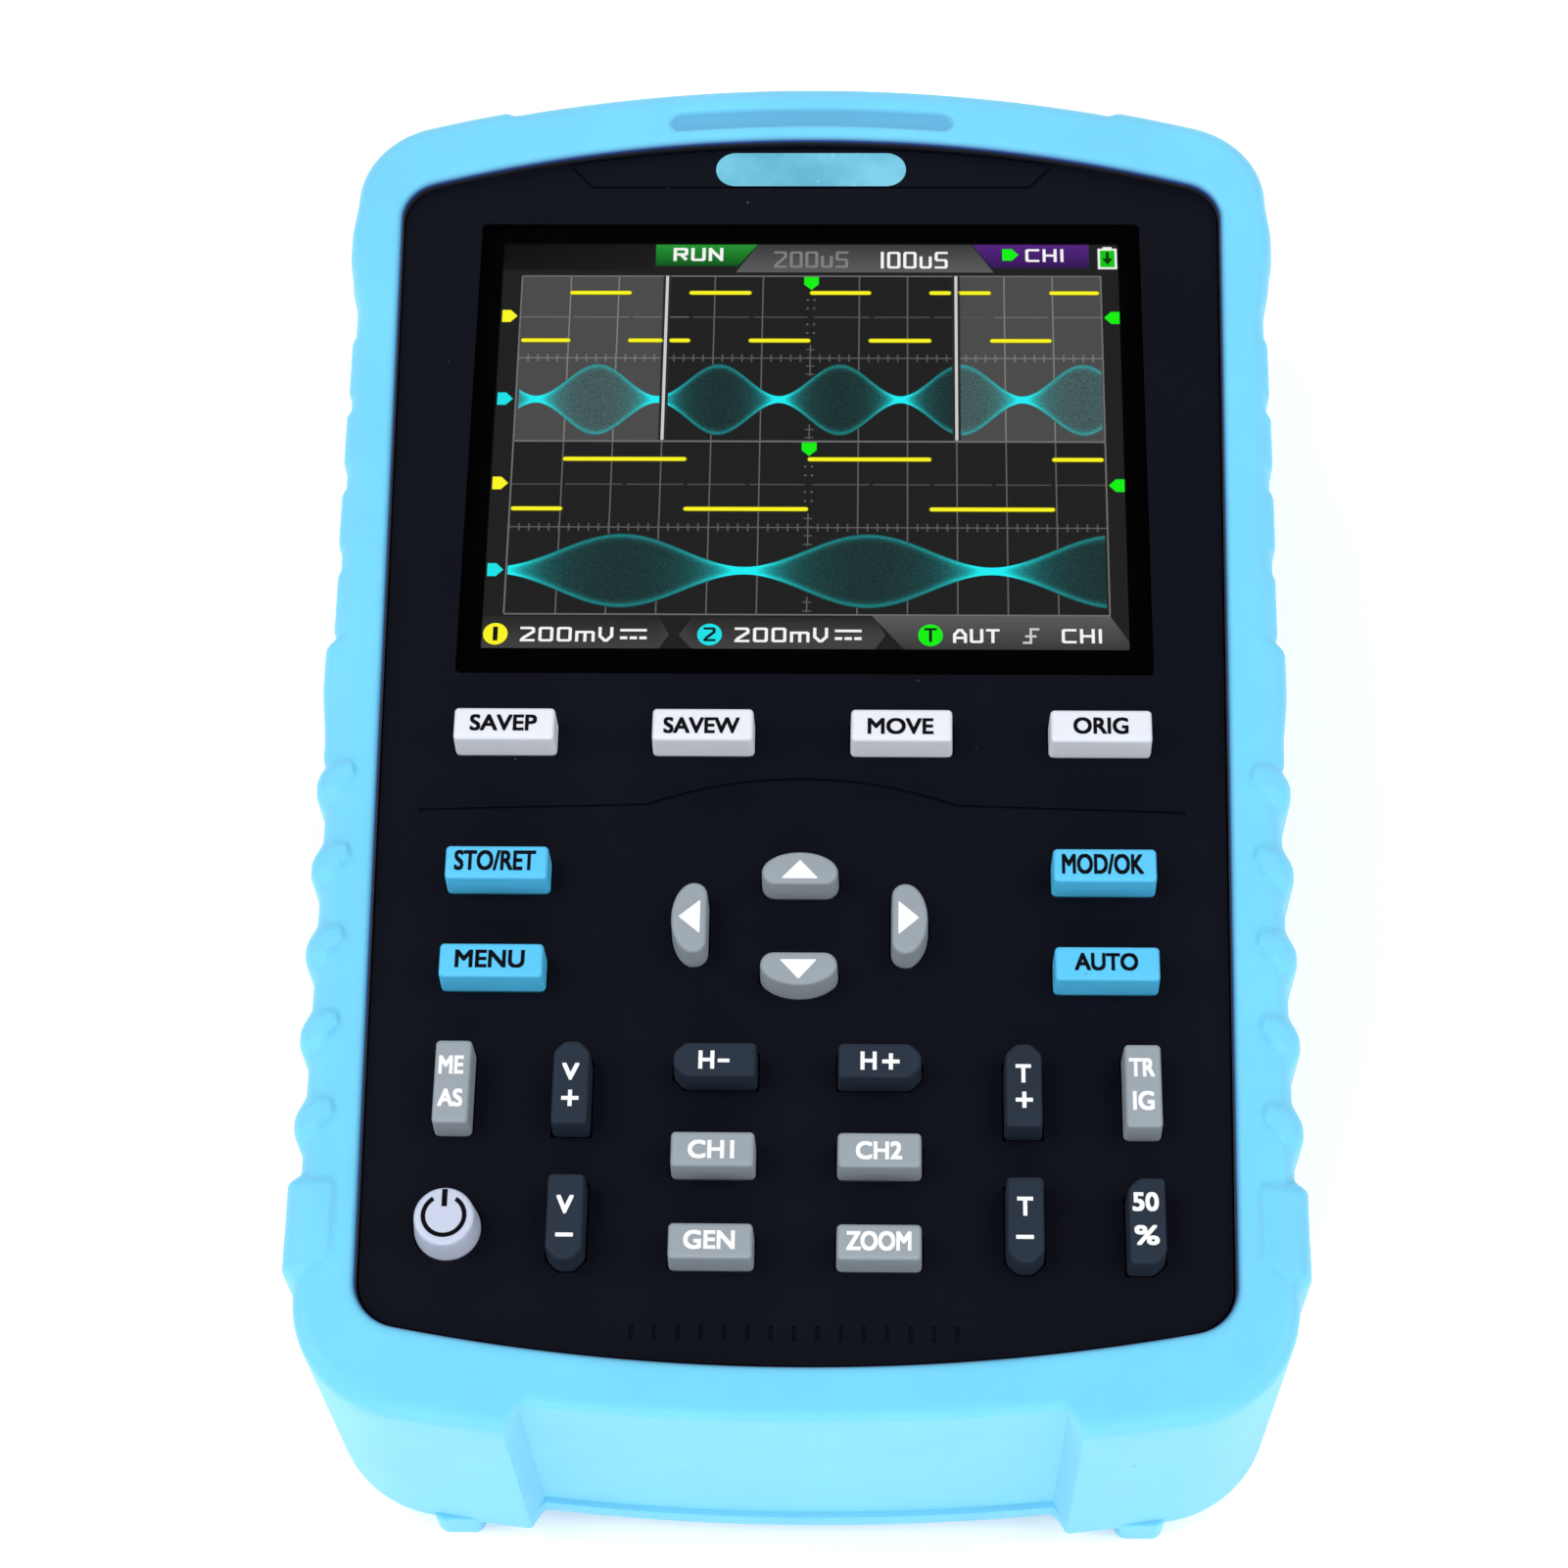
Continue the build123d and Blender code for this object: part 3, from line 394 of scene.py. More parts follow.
def mesh_of(name, points, faces, smooth_angle=None):
    """A mesh from points of the drawing frame and faces, shaded smooth up to an angle."""
    mesh = bpy.data.meshes.new(name)
    mesh.from_pydata([at(*p) for p in points], [], faces)
    mesh.validate()
    if smooth_angle:
        mesh.polygons.foreach_set("use_smooth", [True] * len(mesh.polygons))
        mesh.set_sharp_from_angle(angle=math.radians(smooth_angle))
    return mesh


def outward(mesh):
    """Turns a closed mesh's faces outward."""
    bm = bmesh.new()
    bm.from_mesh(mesh)
    bmesh.ops.recalc_face_normals(bm, faces=bm.faces)
    bm.to_mesh(mesh)
    bm.free()
    return mesh


# ---------------------------------------------------------------------------- the boot

# Plans: half widths at the socket end and at the other end, the Y of the two ends, the radii to
# which the ends bow, and the corner radius
BOOT = (42.4, 40.9, 66.2, -65.4, 135.0, 210.0, 8.0)
TOP_BUMPERS = (42.95, 41.4, 66.7, -65.4, 135.0, 210.0, 8.5)
LOW_BUMPERS = (42.4, 40.9, 66.2, -67.75, 135.0, 210.0, 10.5)
OPENING = (38.4, 35.75, 59.55, -60.8, 127.0, 173.0, 4.0)
BACK_WINDOW = (29.0, -40.0, 44.0, 6.0)  # half width, its two ends along Y, and corner radius
TOP_BUMPER_X, LOW_BUMPER_X = 28.9, 22.25  # where the bumpers step out
STADIUM_X, STADIUM_Y, STADIUM_HALF = 13.0, 62.05, 12.4
EDGE, LOW_EDGE, RECESS_EDGE, BACK_EDGE = 2.3, 1.5, 0.9, 1.5  # radii of the long edges
INNER_Z, INSIDE_Z, SKIN = 32.15, 4.35, 2.36
LIP_REACH = 1.1
# the roll of the lip, as its reach from the opening and its height
LIP_ROLL = (
    (0.0, INNER_Z), (0.0, 32.55), (0.03, 32.85), (0.12, 33.1),
    (0.28, 33.32), (0.5, 33.48), (0.78, 33.57), (LIP_REACH, LIP),
)
FRONT_STEPS = 15  # bands of the front face
WALL_HEIGHTS = (*np.linspace(LIP - 3.4, 6.2, 19), 5.75, 5.55, 5.35, 4.4, 3.5)
RIM, STADIUM_DEPTH = 0.5, 0.35  # how far the foot of the lower end stands out, and the recess's depth
DECK_SLOT = (36.0, 8.4, 27.4, 4.0, 55.0, 75.0)  # half width, heights, corner, and its reach along Y
FOOT_SIZE, FOOT_CORNER, FOOT_EDGE = (2.1, 7.0, 4.3), 1.0, 0.25  # half width, half length, top
FOOT_X, FOOT_Y = 29.7, (56.0, -59.0)

# Relief of the sides: middles of the finger ridges along Y, the limits of the blocks, and the
# plates' limits and heights
RIDGES = [-8.0 - 7.85 * i for i in range(5)]
RIDGE_FACE, RIDGE_WALL = 0.42, 0.88  # how far a ridge stands out on the front face and on the wall
BLOCK, BLOCK_MIDDLE, BLOCK_FACE, BLOCK_WALL = (-53.3, -45.4), -49.2, 0.38, 1.08
CORNER_PLATE, CORNER_SOFT, CORNER_OUT = (45.2, 51.25), (2.0, 2.25), 0.42
RELIEF_DEPTH, RELIEF_X = (26.5, 25.0), 30  # it ends this far below the lip, and inboard of this X
PLATES = ((31.6, 37.6, 0.3), (24.1, 29.6, 0.37), (15.5, 21.3, 0.35), (6.6, 12.8, 0.25))


def outline(shape, grow=0.0):
    """A plan's outline as a dense closed polyline: tapering sides, bowed ends, round corners."""
    top_half, end_half, top, end, top_bow, end_bow, corner = shape
    top_half, end_half, top, end = top_half + grow, end_half + grow, top + grow, end - grow
    top_bow, end_bow, corner = top_bow + grow, end_bow + grow, corner + grow
    top_drop = top_bow - math.sqrt(top_bow**2 - top_half**2)
    end_drop = end_bow - math.sqrt(end_bow**2 - end_half**2)
    a = np.array((top_half, top - top_drop))
    b = np.array((end_half, end + end_drop))
    along = (a - b) / np.linalg.norm(a - b)
    out = np.array((along[1], -along[0]))

    def corner_centre(bow_centre_y, bow, anchor):
        """Where a circle of the corner's radius touches the end's bow and the side."""
        base = anchor - out * corner
        reach = bow - corner
        d = base - np.array((0, bow_centre_y))
        half_b, c = float(d @ along), float(d @ d) - reach**2
        root = math.sqrt(half_b**2 - c)
        steps = (-half_b - root, -half_b + root)
        return base + along * min(steps, key=abs)

    top_c = corner_centre(top - top_bow, top_bow, a)
    end_c = corner_centre(end + end_bow, end_bow, b)
    points = []
    reach = math.atan2(top_c[0], top_c[1] - (top - top_bow))
    side = math.atan2(out[1], out[0])
    for t in np.linspace(0, reach, 60, endpoint=False):
        points.append((top_bow * math.sin(t), top - top_bow + top_bow * math.cos(t)))
    points += arc(*top_c, corner, np.linspace(math.pi / 2 - reach, side, 40))
    reach_end = math.atan2(end_c[0], (end + end_bow) - end_c[1])
    points += arc(*end_c, corner, np.linspace(side, reach_end - math.pi / 2, 40))
    for t in np.linspace(reach_end, 0, 60)[1:]:
        points.append((end_bow * math.sin(t), end + end_bow - end_bow * math.cos(t)))
    right = np.array(points)
    left = right[::-1][1:-1] * (-1, 1)
    return np.vstack((right, left))


def rounded_rectangle(half, low, high, corner, grow=0.0):
    """A round-cornered rectangle about x = 0 as a dense closed polyline, from its top, clockwise."""
    half, low, high, corner = half + grow, low - grow, high + grow, corner + grow
    points = [(0.0, high)]
    corners = ((1, high, 90, 0), (1, low, 0, -90), (-1, low, 270, 180), (-1, high, 180, 90))
    for side, y, start, stop in corners:
        cx, cy = side * (half - corner), y + (corner if y < 0 else -corner)
        points += arc(cx, cy, corner, np.radians(np.linspace(start, stop, 24)))
    return np.array(points)


class Polar:
    """Reads an outline as the distance from the middle in a direction."""

    def __init__(self, points):
        angle = np.arctan2(points[:, 0], points[:, 1])
        order = np.argsort(angle)
        self.angle = angle[order]
        self.distance = np.hypot(points[:, 0], points[:, 1])[order]

    def ring(self, angles):
        """The outline's points in these directions."""
        xs, ys = np.sin(self.angle) * self.distance, np.cos(self.angle) * self.distance
        n = len(self.angle)
        index = np.searchsorted(self.angle, angles) % n
        before = index - 1
        x0, y0, x1, y1 = xs[before], ys[before], xs[index], ys[index]
        dx, dy = np.sin(angles), np.cos(angles)
        cross = dx * (y1 - y0) - dy * (x1 - x0)
        reach = (x0 * (y1 - y0) - y0 * (x1 - x0)) / cross
        return np.stack((dx * reach, dy * reach), axis=1)


def boot_angles():
    """Directions for the boot's rings: close together along the sides and at the steps."""
    points = outline(BOOT)
    points = np.vstack((points, points[:1]))
    length = np.concatenate(([0], np.cumsum(np.hypot(*np.diff(points, axis=0).T))))
    fine = np.linspace(0, length[-1], 20000)
    x, y = np.interp(fine, length, points[:, 0]), np.interp(fine, length, points[:, 1])
    spacing = np.full_like(fine, 0.62)
    on_side = (np.abs(x) > 39) & (y > -60) & (y < 56)
    spacing[on_side & (y < 8)] = 0.3
    spacing[on_side & (y >= 8)] = 0.42
    spacing[(y < 0) & (np.abs(np.abs(x) - 22.2) < 2.5)] = 0.25
    for step in (TOP_BUMPER_X, STADIUM_X):
        spacing[(y > 0) & (np.abs(np.abs(x) - step) < 2.0)] = 0.35
    count = np.concatenate(([0], np.cumsum(np.diff(fine) / spacing[1:])))
    total = int(count[-1])
    at_length = np.interp(np.arange(total) * count[-1] / total, count, fine)
    x, y = np.interp(at_length, fine, x), np.interp(at_length, fine, y)
    return np.unwrap(np.arctan2(x, y))


def side_half(y):
    """Half width of the boot's plain sides at y."""
    return BOOT[1] + (BOOT[0] - BOOT[1]) * (y - BOOT[3]) / (BOOT[2] - BOOT[3])


def side_relief(x, y, z):
    """How far the ridges, plates and blocks of the sides stand out at each point."""
    across = np.abs(x)
    inboard = side_half(y) - across
    down = LIP - z
    t = inboard - down  # above 0 on the front face, below 0 down the side
    on_wall = smooth(1.2, -1.4, t)
    relief = np.zeros_like(x)
    for centre in RIDGES:
        upper = centre + 1.05 - 0.15 * on_wall
        lower = centre - 0.35 - 1.5 * smooth(2.9, 0.6, t) - 0.45 * on_wall
        bump = band(y, lower, upper, 0.14 + 1.15 * on_wall, 0.4 + 0.9 * on_wall)
        bump *= smooth(2.95, 2.45, inboard + 0.25 * np.abs(y - centre))
        relief = np.maximum(relief, bump * (RIDGE_FACE + (RIDGE_WALL - RIDGE_FACE) * on_wall))
    low, high = BLOCK
    upper = high - 0.1 + 0.55 * on_wall
    lower = low + 1.1 - 1.3 * smooth(3.1, 0.5, t)
    bump = band(y, lower, upper, 0.2 + 0.6 * on_wall, 0.35 + 0.3 * on_wall)
    bump *= smooth(3.45, 2.75, inboard + 0.12 * np.maximum(0, np.abs(y - BLOCK_MIDDLE) - 3.0))
    relief = np.maximum(relief, bump * (BLOCK_FACE + (BLOCK_WALL - BLOCK_FACE) * on_wall))
    for low, high, out in PLATES:
        bump = band(y, low + 0.1, high, 0.45, 0.35)
        relief = np.maximum(relief, bump * out * on_wall * smooth(0.6, -1.6, t))
    swell = smooth(6.4, 4.7, y) * (0.45 + 0.43 * smooth(-4.5, 1.5, y)) * smooth(-7.5, -5.5, y)
    relief = np.maximum(relief, swell * on_wall)
    corner = band(y, *CORNER_PLATE, *CORNER_SOFT)
    relief = np.maximum(relief, CORNER_OUT * corner * on_wall)
    return relief * smooth(*RELIEF_DEPTH, down) * (across > RELIEF_X)


def boot_mesh():
    """The boot as a closed skin: lip, front face, rounded edge, walls, back and inside."""
    angles = boot_angles()
    count = len(angles)

    def ring_of(points):
        return Polar(points).ring(np.arctan2(np.sin(angles), np.cos(angles)))

    def wall(grow):
        """The outer outline at an offset, with the corner bumpers worked in."""
        plain = ring_of(outline(BOOT, grow))
        top, low = ring_of(outline(TOP_BUMPERS, grow)), ring_of(outline(LOW_BUMPERS, grow))
        y, x = plain[:, 1], np.abs(plain[:, 0])
        at_top = (y > 0) * smooth(TOP_BUMPER_X - 0.4, TOP_BUMPER_X + 0.4, x) * smooth(40.5, 43.0, y)
        at_low = (y < -50) * smooth(LOW_BUMPER_X - 0.3, LOW_BUMPER_X + 0.3, x)
        return plain + (top - plain) * at_top[:, None] + (low - plain) * at_low[:, None]

    def edge_radius():
        """The front edge is tighter along the lower end, most of all in the recess."""
        plain, y = ring_of(outline(BOOT)), full[:, 1]
        recess = (plain[:, 1] < -50) & (np.abs(plain[:, 0]) < LOW_BUMPER_X + 0.05)
        radius = EDGE + (LOW_EDGE - EDGE) * smooth(-52, -60, y)
        return radius + (RECESS_EDGE - radius) * recess

    full = wall(0.0)
    radius = edge_radius()
    layers = []

    def level(ring, z, kind):
        layers.append((ring, np.full(count, z), kind))

    for reach, z in LIP_ROLL:
        level(ring_of(outline(OPENING, reach)), z, "front")
    inner = ring_of(outline(OPENING, LIP_REACH))
    normal_in = (inner - full) / np.linalg.norm(inner - full, axis=1)[:, None]
    outer_ring = full + normal_in * radius[:, None]
    for i in range(1, FRONT_STEPS):
        level(inner + (outer_ring - inner) * (i / FRONT_STEPS), LIP, "front")
    for t in np.linspace(0, math.pi / 2, 10):
        ring = full + normal_in * (radius * (1 - math.sin(t)))[:, None]
        layers.append((ring, LIP - radius * (1 - math.cos(t)), "edge"))
    for z in WALL_HEIGHTS:
        level(full, z, "wall")
    for t in np.linspace(math.pi / 10, math.pi / 2, 5):
        level(wall(-BACK_EDGE * (1 - math.cos(t))), FOOT + BACK_EDGE * (1 - math.sin(t)), "wall")
    window = ring_of(rounded_rectangle(*BACK_WINDOW))
    last = layers[-1][0]
    for part in (0.35, 0.75):
        level(last + (window - last) * part, FOOT, "back")
    for grow, rise in ((0.5, 0.0), (0.15, 0.15), (0.0, 0.5)):
        level(ring_of(rounded_rectangle(*BACK_WINDOW, grow)), FOOT + rise, "back")
    level(window, INSIDE_Z, "in")
    inside = ring_of(outline(BOOT, -SKIN))
    for z in (INSIDE_Z, INNER_Z):
        level(inside, z, "in")

    # The relief stands out along the surface's own direction, which turns over the rounded edge.
    points = []
    for ring, z, kind in layers:
        x, y = ring[:, 0].copy(), ring[:, 1].copy()
        z = z.astype(float).copy()
        if kind in ("front", "edge", "wall"):
            out = side_relief(x, y, z)
            inboard = side_half(y) - np.abs(x)
            tilt = np.clip((LIP - z) / EDGE, 0, 1) * (math.pi / 2) * (kind != "front")
            x += np.sign(x) * out * np.sin(tilt) * (inboard < 6)
            z += out * np.cos(tilt)
        if kind == "front":
            z -= STADIUM_DEPTH * stadium(x, y)
        if kind == "wall":
            middle = 1 - smooth(LOW_BUMPER_X - 0.3, LOW_BUMPER_X + 0.3, np.abs(x))
            y -= RIM * (y < -50) * middle * smooth(5.75, 5.5, z)
        points.append(np.stack((x, y, z), axis=1))
    points = np.array(points)
    rings = len(points)
    index = np.arange(rings * count).reshape(rings, count)
    faces = []
    for j in range(rings):
        a, b = index[j], index[(j + 1) % rings]
        faces.extend(zip(a, np.roll(a, -1), np.roll(b, -1), b))
    # Painted shade: a value per point that is 0 on the lit rubber, rises to 1 and then 2 down the lip's
    # roll towards the panel, and is 2 on the boot's inside; the material darkens with it.
    painted_shade = []
    for spots, (_, _, kind) in zip(points, layers):
        down = smooth(33.5, 32.9, spots[:, 2]) + smooth(33.1, 32.6, spots[:, 2])
        painted_shade.append(down * (kind == "front") + 2.0 * (kind == "in"))
    faces = [tuple(int(v) for v in face) for face in faces]
    mesh = mesh_of("boot_skin", points.reshape(-1, 3).tolist(), faces, 40)
    shade_layer = mesh.attributes.new("painted_shade", "FLOAT", "POINT")
    shade_layer.data.foreach_set("value", np.array(painted_shade).ravel())
    return outward(mesh)


def stadium(x, y):
    """1 inside the shallow round-ended recess on the lip at the socket end."""
    bow = BOOT[4]
    middle = STADIUM_Y - (bow - np.sqrt(bow**2 - np.clip(x, -40, 40) ** 2))
    across = np.abs(y - middle)
    beyond = np.maximum(np.abs(x) - STADIUM_HALF, 0)
    return smooth(1.35, 0.85, np.hypot(across, beyond))


def cut(mesh, cutter_points, cutter_faces):
    """The mesh with a closed shape taken out of it."""
    body = bpy.data.objects.new("cut_body", mesh)
    tool = bpy.data.objects.new("cut_tool", outward(mesh_of("cut_tool", cutter_points, cutter_faces)))
    for item in (body, tool):
        bpy.context.scene.collection.objects.link(item)
    modifier = body.modifiers.new("cut", "BOOLEAN")
    modifier.operation = "DIFFERENCE"
    modifier.object = tool
    modifier.solver = "MANIFOLD"
    graph = bpy.context.evaluated_depsgraph_get()
    result = bpy.data.meshes.new_from_object(body.evaluated_get(graph))
    bpy.data.objects.remove(body)
    bpy.data.objects.remove(tool)
    return result


def slot_prism(half, low, high, corner, near, far):
    """A round-cornered slot along Y, as points and faces."""
    section = []
    top, base = high - corner, low + corner
    for side, z, start in ((1, top, 0), (-1, top, 90), (-1, base, 180), (1, base, 270)):
        section += arc(side * (half - corner), z, corner, quarter(start, 12))
    n = len(section)
    points = [(x, near, z) for x, z in section] + [(x, far, z) for x, z in section]
    faces = [tuple(range(n)), tuple(range(2 * n - 1, n - 1, -1))]
    faces += [(i, (i + 1) % n, n + (i + 1) % n, n + i) for i in range(n)]
    return points, faces


def stack(levels):
    """A closed solid from outlines at rising heights, all with as many points."""
    n = len(levels[0][0])
    points = [(x, y, z) for ring, z in levels for x, y in ring]
    faces = [tuple(range(n - 1, -1, -1))]
    for j in range(len(levels) - 1):
        for i in range(n):
            k = (i + 1) % n
            faces.append((j * n + i, j * n + k, (j + 1) * n + k, (j + 1) * n + i))
    faces.append(tuple((len(levels) - 1) * n + i for i in range(n)))
    return points, faces


def pillow(x, y):
    """A foot of the boot: a closed round-cornered block with rounded top and bottom edges."""
    half_x, half_y, high = FOOT_SIZE
    turns = np.linspace(0, math.pi / 2, 6)
    levels = [(1 - math.sin(t), FOOT_EDGE * (1 - math.cos(t))) for t in turns]
    levels += [(1 - math.sin(t), high - FOOT_EDGE * (1 - math.cos(t))) for t in turns[::-1]]
    cx, cy = half_x - FOOT_CORNER, half_y - FOOT_CORNER
    rings = []
    for share, z in levels:
        ring = []
        for sx, sy, start in ((1, 1, 0), (-1, 1, 90), (-1, -1, 180), (1, -1, 270)):
            ring += arc(x + sx * cx, y + sy * cy, FOOT_CORNER - FOOT_EDGE * share, quarter(start, 7))
        rings.append((ring, z))
    return stack(rings)


def join(parts):
    """Several (points, faces) as one."""
    points, faces = [], []
    for more_points, more_faces in parts:
        start = len(points)
        points += list(more_points)
        faces += [tuple(i + start for i in face) for face in more_faces]
    return points, faces


def make_boot():
    skin = cut(boot_mesh(), *slot_prism(*DECK_SLOT))
    skin.set_sharp_from_angle(angle=math.radians(40))
    boot = add_piece("boot", skin, BOOT_RUBBER)
    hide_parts("protective_boot")
    feet = join([pillow(side * FOOT_X, y) for side in SIDES for y in FOOT_Y])
    add_piece("boot_feet", mesh_of("boot_feet", *feet, 40), BOOT_RUBBER)


make_boot()

# ---------------------------------------------------------------------------- the keys

SOFT_X, INNER_X, PAD_X, PAIR_X, COLUMN_X, EDGE_X = 25.9, 8.63, 9.34, 6.85, 18.75, 28.6
SAVE_Y, STORE_Y, MENU_Y, PAD_Y = -4.0, -17.3, -26.4, -22.35
UPPER_Y, LOWER_Y, H_Y, PAIR_STEP = -37.35, -49.05, -35.25, 7.9
WIDE, SHORT, TALL, SLIM = (8.9, 3.2), (7.0, 3.15), (3.15, 7.45), (6.6, 3.15)
CUT, CUT_CORNER, CORNER = 0.95, 1.0, 0.45
FOOT_OF_KEY = 31.0  # the drawn keys reach down to here, inside the panel
PRINT = 0.02  # how far the printed legends stand above the key tops
FACE_TOP = KEY_TOP - PRINT
TOP, BOTTOM, LEFT, RIGHT = ((-1, 1), (1, 1)), ((-1, -1), (1, -1)), ((-1, -1), (-1, 1)), ((1, -1), (1, 1))
SLASH = ((-1, 1), (1, -1))
# name: place, size, cut corners or turn, and the legends as text and its box about the middle
KEYS = {
    "key_savep": (-SOFT_X, SAVE_Y, *WIDE, (), (("SAVEP", -2.98, 2.86, -0.80, 0.80),)),
    "key_savew": (-INNER_X, SAVE_Y, *WIDE, (), (("SAVEW", -3.40, 3.22, -0.98, 0.60),)),
    "key_move": (INNER_X, SAVE_Y, *WIDE, (), (("MOVE", -2.95, 2.76, -0.98, 0.60),)),
    "key_orig": (SOFT_X, SAVE_Y, *WIDE, (), (("ORIG", -2.42, 2.34, -0.88, 0.74),)),
    "key_sto_ret": (-SOFT_X, STORE_Y, *WIDE, (), (("STO/RET", -3.60, 3.36, -0.86, 1.04),)),
    "key_mod_ok": (SOFT_X, STORE_Y, *WIDE, (), (("MOD/OK", -3.66, 3.30, -0.92, 0.98),)),
    "key_menu": (-SOFT_X, MENU_Y, *WIDE, (), (("MENU", -3.04, 2.84, -0.78, 0.86),)),
    "key_auto": (SOFT_X, MENU_Y, *WIDE, (), (("AUTO", -2.76, 2.56, -0.72, 0.90),)),
    "key_up": (0.0, PAD_Y + 4.65, *SLIM, 0, ()),
    "key_left": (-PAD_X, PAD_Y, *SLIM, 90, ()),
    "key_down": (0.0, PAD_Y - 4.65, *SLIM, 180, ()),
    "key_right": (PAD_X, PAD_Y, *SLIM, 270, ()),
    "key_meas": (
        -EDGE_X, UPPER_Y, *TALL, (),
        (("ME", -1.16, 0.92, 0.58, 2.22), ("AS", -1.10, 0.98, -2.32, -0.72)),
    ),
    "key_trig": (
        EDGE_X, UPPER_Y, *TALL, (),
        (("TR", -1.16, 0.98, 0.74, 2.38), ("IG", -0.92, 0.86, -2.22, -0.52)),
    ),
    "key_v_up": (
        -COLUMN_X, UPPER_Y, *TALL, TOP,
        (("V", -0.74, 0.70, 0.10, 1.62), ("+", -0.70, 0.74, -2.20, -0.78)),
    ),
    "key_t_up": (
        COLUMN_X, UPPER_Y, *TALL, TOP,
        (("T", -0.68, 0.60, 0.14, 1.76), ("+", -0.70, 0.72, -2.08, -0.68)),
    ),
    "key_v_down": (
        -COLUMN_X, LOWER_Y, *TALL, BOTTOM,
        (("V", -0.72, 0.70, 0.14, 1.74), ("-", -0.68, 0.76, -1.86, -1.44)),
    ),
    "key_t_down": (
        COLUMN_X, LOWER_Y, *TALL, BOTTOM,
        (("T", -0.70, 0.60, 0.26, 1.88), ("-", -0.82, 0.62, -1.76, -1.34)),
    ),
    "key_h_down": (
        -PAIR_X, H_Y, *SHORT, LEFT,
        (("H", -1.34, -0.02, -0.92, 0.70), ("-", 0.26, 1.24, -0.34, -0.02)),
    ),
    "key_h_up": (
        PAIR_X, H_Y, *SHORT, RIGHT,
        (("H", -1.60, -0.26, -0.92, 0.70), ("+", 0.20, 1.64, -0.88, 0.54)),
    ),
    "key_ch1": (-PAIR_X, H_Y - PAIR_STEP, *SHORT, (), (("CH1", -2.02, 1.80, -0.90, 0.72),)),
    "key_ch2": (PAIR_X, H_Y - PAIR_STEP, *SHORT, (), (("CH2", -1.94, 1.86, -0.90, 0.70),)),
    "key_gen": (-PAIR_X, H_Y - 2 * PAIR_STEP, *SHORT, (), (("GEN", -2.18, 2.02, -0.80, 0.84),)),
    "key_zoom": (PAIR_X, H_Y - 2 * PAIR_STEP, *SHORT, (), (("ZOOM", -2.68, 2.62, -0.82, 0.86),)),
    "key_level": (
        EDGE_X, LOWER_Y, *TALL, SLASH,
        (("50", -1.20, 0.94, 0.72, 2.36), ("%", -1.10, 0.92, -2.16, -0.46)),
    ),
    "key_power": (-EDGE_X, LOWER_Y - 0.1, 5.5, 5.5, "round", ()),
}
TURNS = (0, 90, 180, 270)
INK_BLACK = rubber("ink_black", paint(8, 9, 16), mottle=0.1, rough=0.7, specular=0.05)
INK_WHITE = rubber("ink_white", paint(246, 247, 250), mottle=0.015, rough=0.6)


def rounded_polygon(corners, radii, steps=6):
    """A polygon's outline with each corner rounded to its own radius, anticlockwise."""
    points = []
    n = len(corners)
    for i in range(n):
        p, before, after = (Vector(corners[j % n]) for j in (i, i - 1, i + 1))
        a, b = (before - p).normalized(), (after - p).normalized()
        half = a.angle(b) / 2
        reach = radii[i] / math.tan(half)
        start = p + a * reach
        middle = p + (a + b).normalized() * (radii[i] / math.sin(half))
        from_centre = start - middle
        turn = math.pi - 2 * half
        for k in range(steps + 1):
            t = turn * k / steps
            c, s = math.cos(t), math.sin(t)
            dx, dy = from_centre
            points.append((middle.x + dx * c - dy * s, middle.y + dx * s + dy * c))
    return points


def inset(points, amount):
    """A convex polygon's corners moved inwards, or outwards for a negative amount."""
    moved = []
    n = len(points)
    for i in range(n):
        p, before, after = (Vector(points[j % n]) for j in (i, i - 1, i + 1))
        a, b = (p - before).normalized(), (after - p).normalized()
        normal = Vector((-(a.y + b.y), a.x + b.x)).normalized()
        moved.append(tuple(p + normal * (amount / Vector((-a.y, a.x)).dot(normal))))
    return moved


def key_outline(width, depth, form, amount=0.0):
    """The plan of one key about its middle, anticlockwise, moved inwards by an amount."""
    if form == "round":
        return arc(0.0, 0.0, width / 2 - amount, np.linspace(0, 2 * math.pi, 72, endpoint=False))
    corners, radii = [], []
    if form in TURNS:
        half, foot, shoulder = width / 2, -depth / 2, -0.11 * depth
        turns = np.linspace(math.pi / 2, -math.pi / 2, 27)
        dome = [(half * math.sin(t), shoulder + (depth / 2 - shoulder) * math.cos(t)) for t in turns]
        corners = [(-half, foot), (half, foot)] + dome
        radii = [0.37 * depth] * 2 + [0.05] * len(dome)
    else:
        for sx, sy in ((1, -1), (1, 1), (-1, 1), (-1, -1)):
            x, y = sx * width / 2, sy * depth / 2
            if (sx, sy) in form:
                first, second = (x - sx * CUT, y), (x, y - sy * CUT)
                corners += [first, second] if sx * sy < 0 else [second, first]
                radii += [CUT_CORNER, CUT_CORNER]
            else:
                corners.append((x, y))
                radii.append(CORNER)
    points = rounded_polygon(inset(corners, amount), [max(r - amount, 0.03) for r in radii], 5)
    turn = math.radians(form) if form in TURNS else 0.0
    c, s = math.cos(turn), math.sin(turn)
    return [(x * c - y * s, x * s + y * c) for x, y in points]


def key_solid(x, y, width, depth, form):
    """A moulded key: a foot in the panel's hole, drafted walls and a rounded top edge."""
    edge, draft = (0.4, 0.06) if form != "round" else (0.4, 0.26)
    levels = [(0.0, FOOT_OF_KEY), (0.0, PANEL), (draft, FACE_TOP - edge)]
    for t in np.linspace(0, math.pi / 2, 7)[1:]:
        levels.append((draft + edge * (1 - math.cos(t)), FACE_TOP - edge * (1 - math.sin(t))))
    rings = []
    for amount, z in levels:
        ring = key_outline(width, depth, form, amount)
        rings.append(([(x + px, y + py) for px, py in ring], z))
    return stack(rings)


def slab(outlines, low, high):
    """Closed thin solids from outlines, each from low to high."""
    return join([stack([(ring, low), (ring, high)]) for ring in outlines])


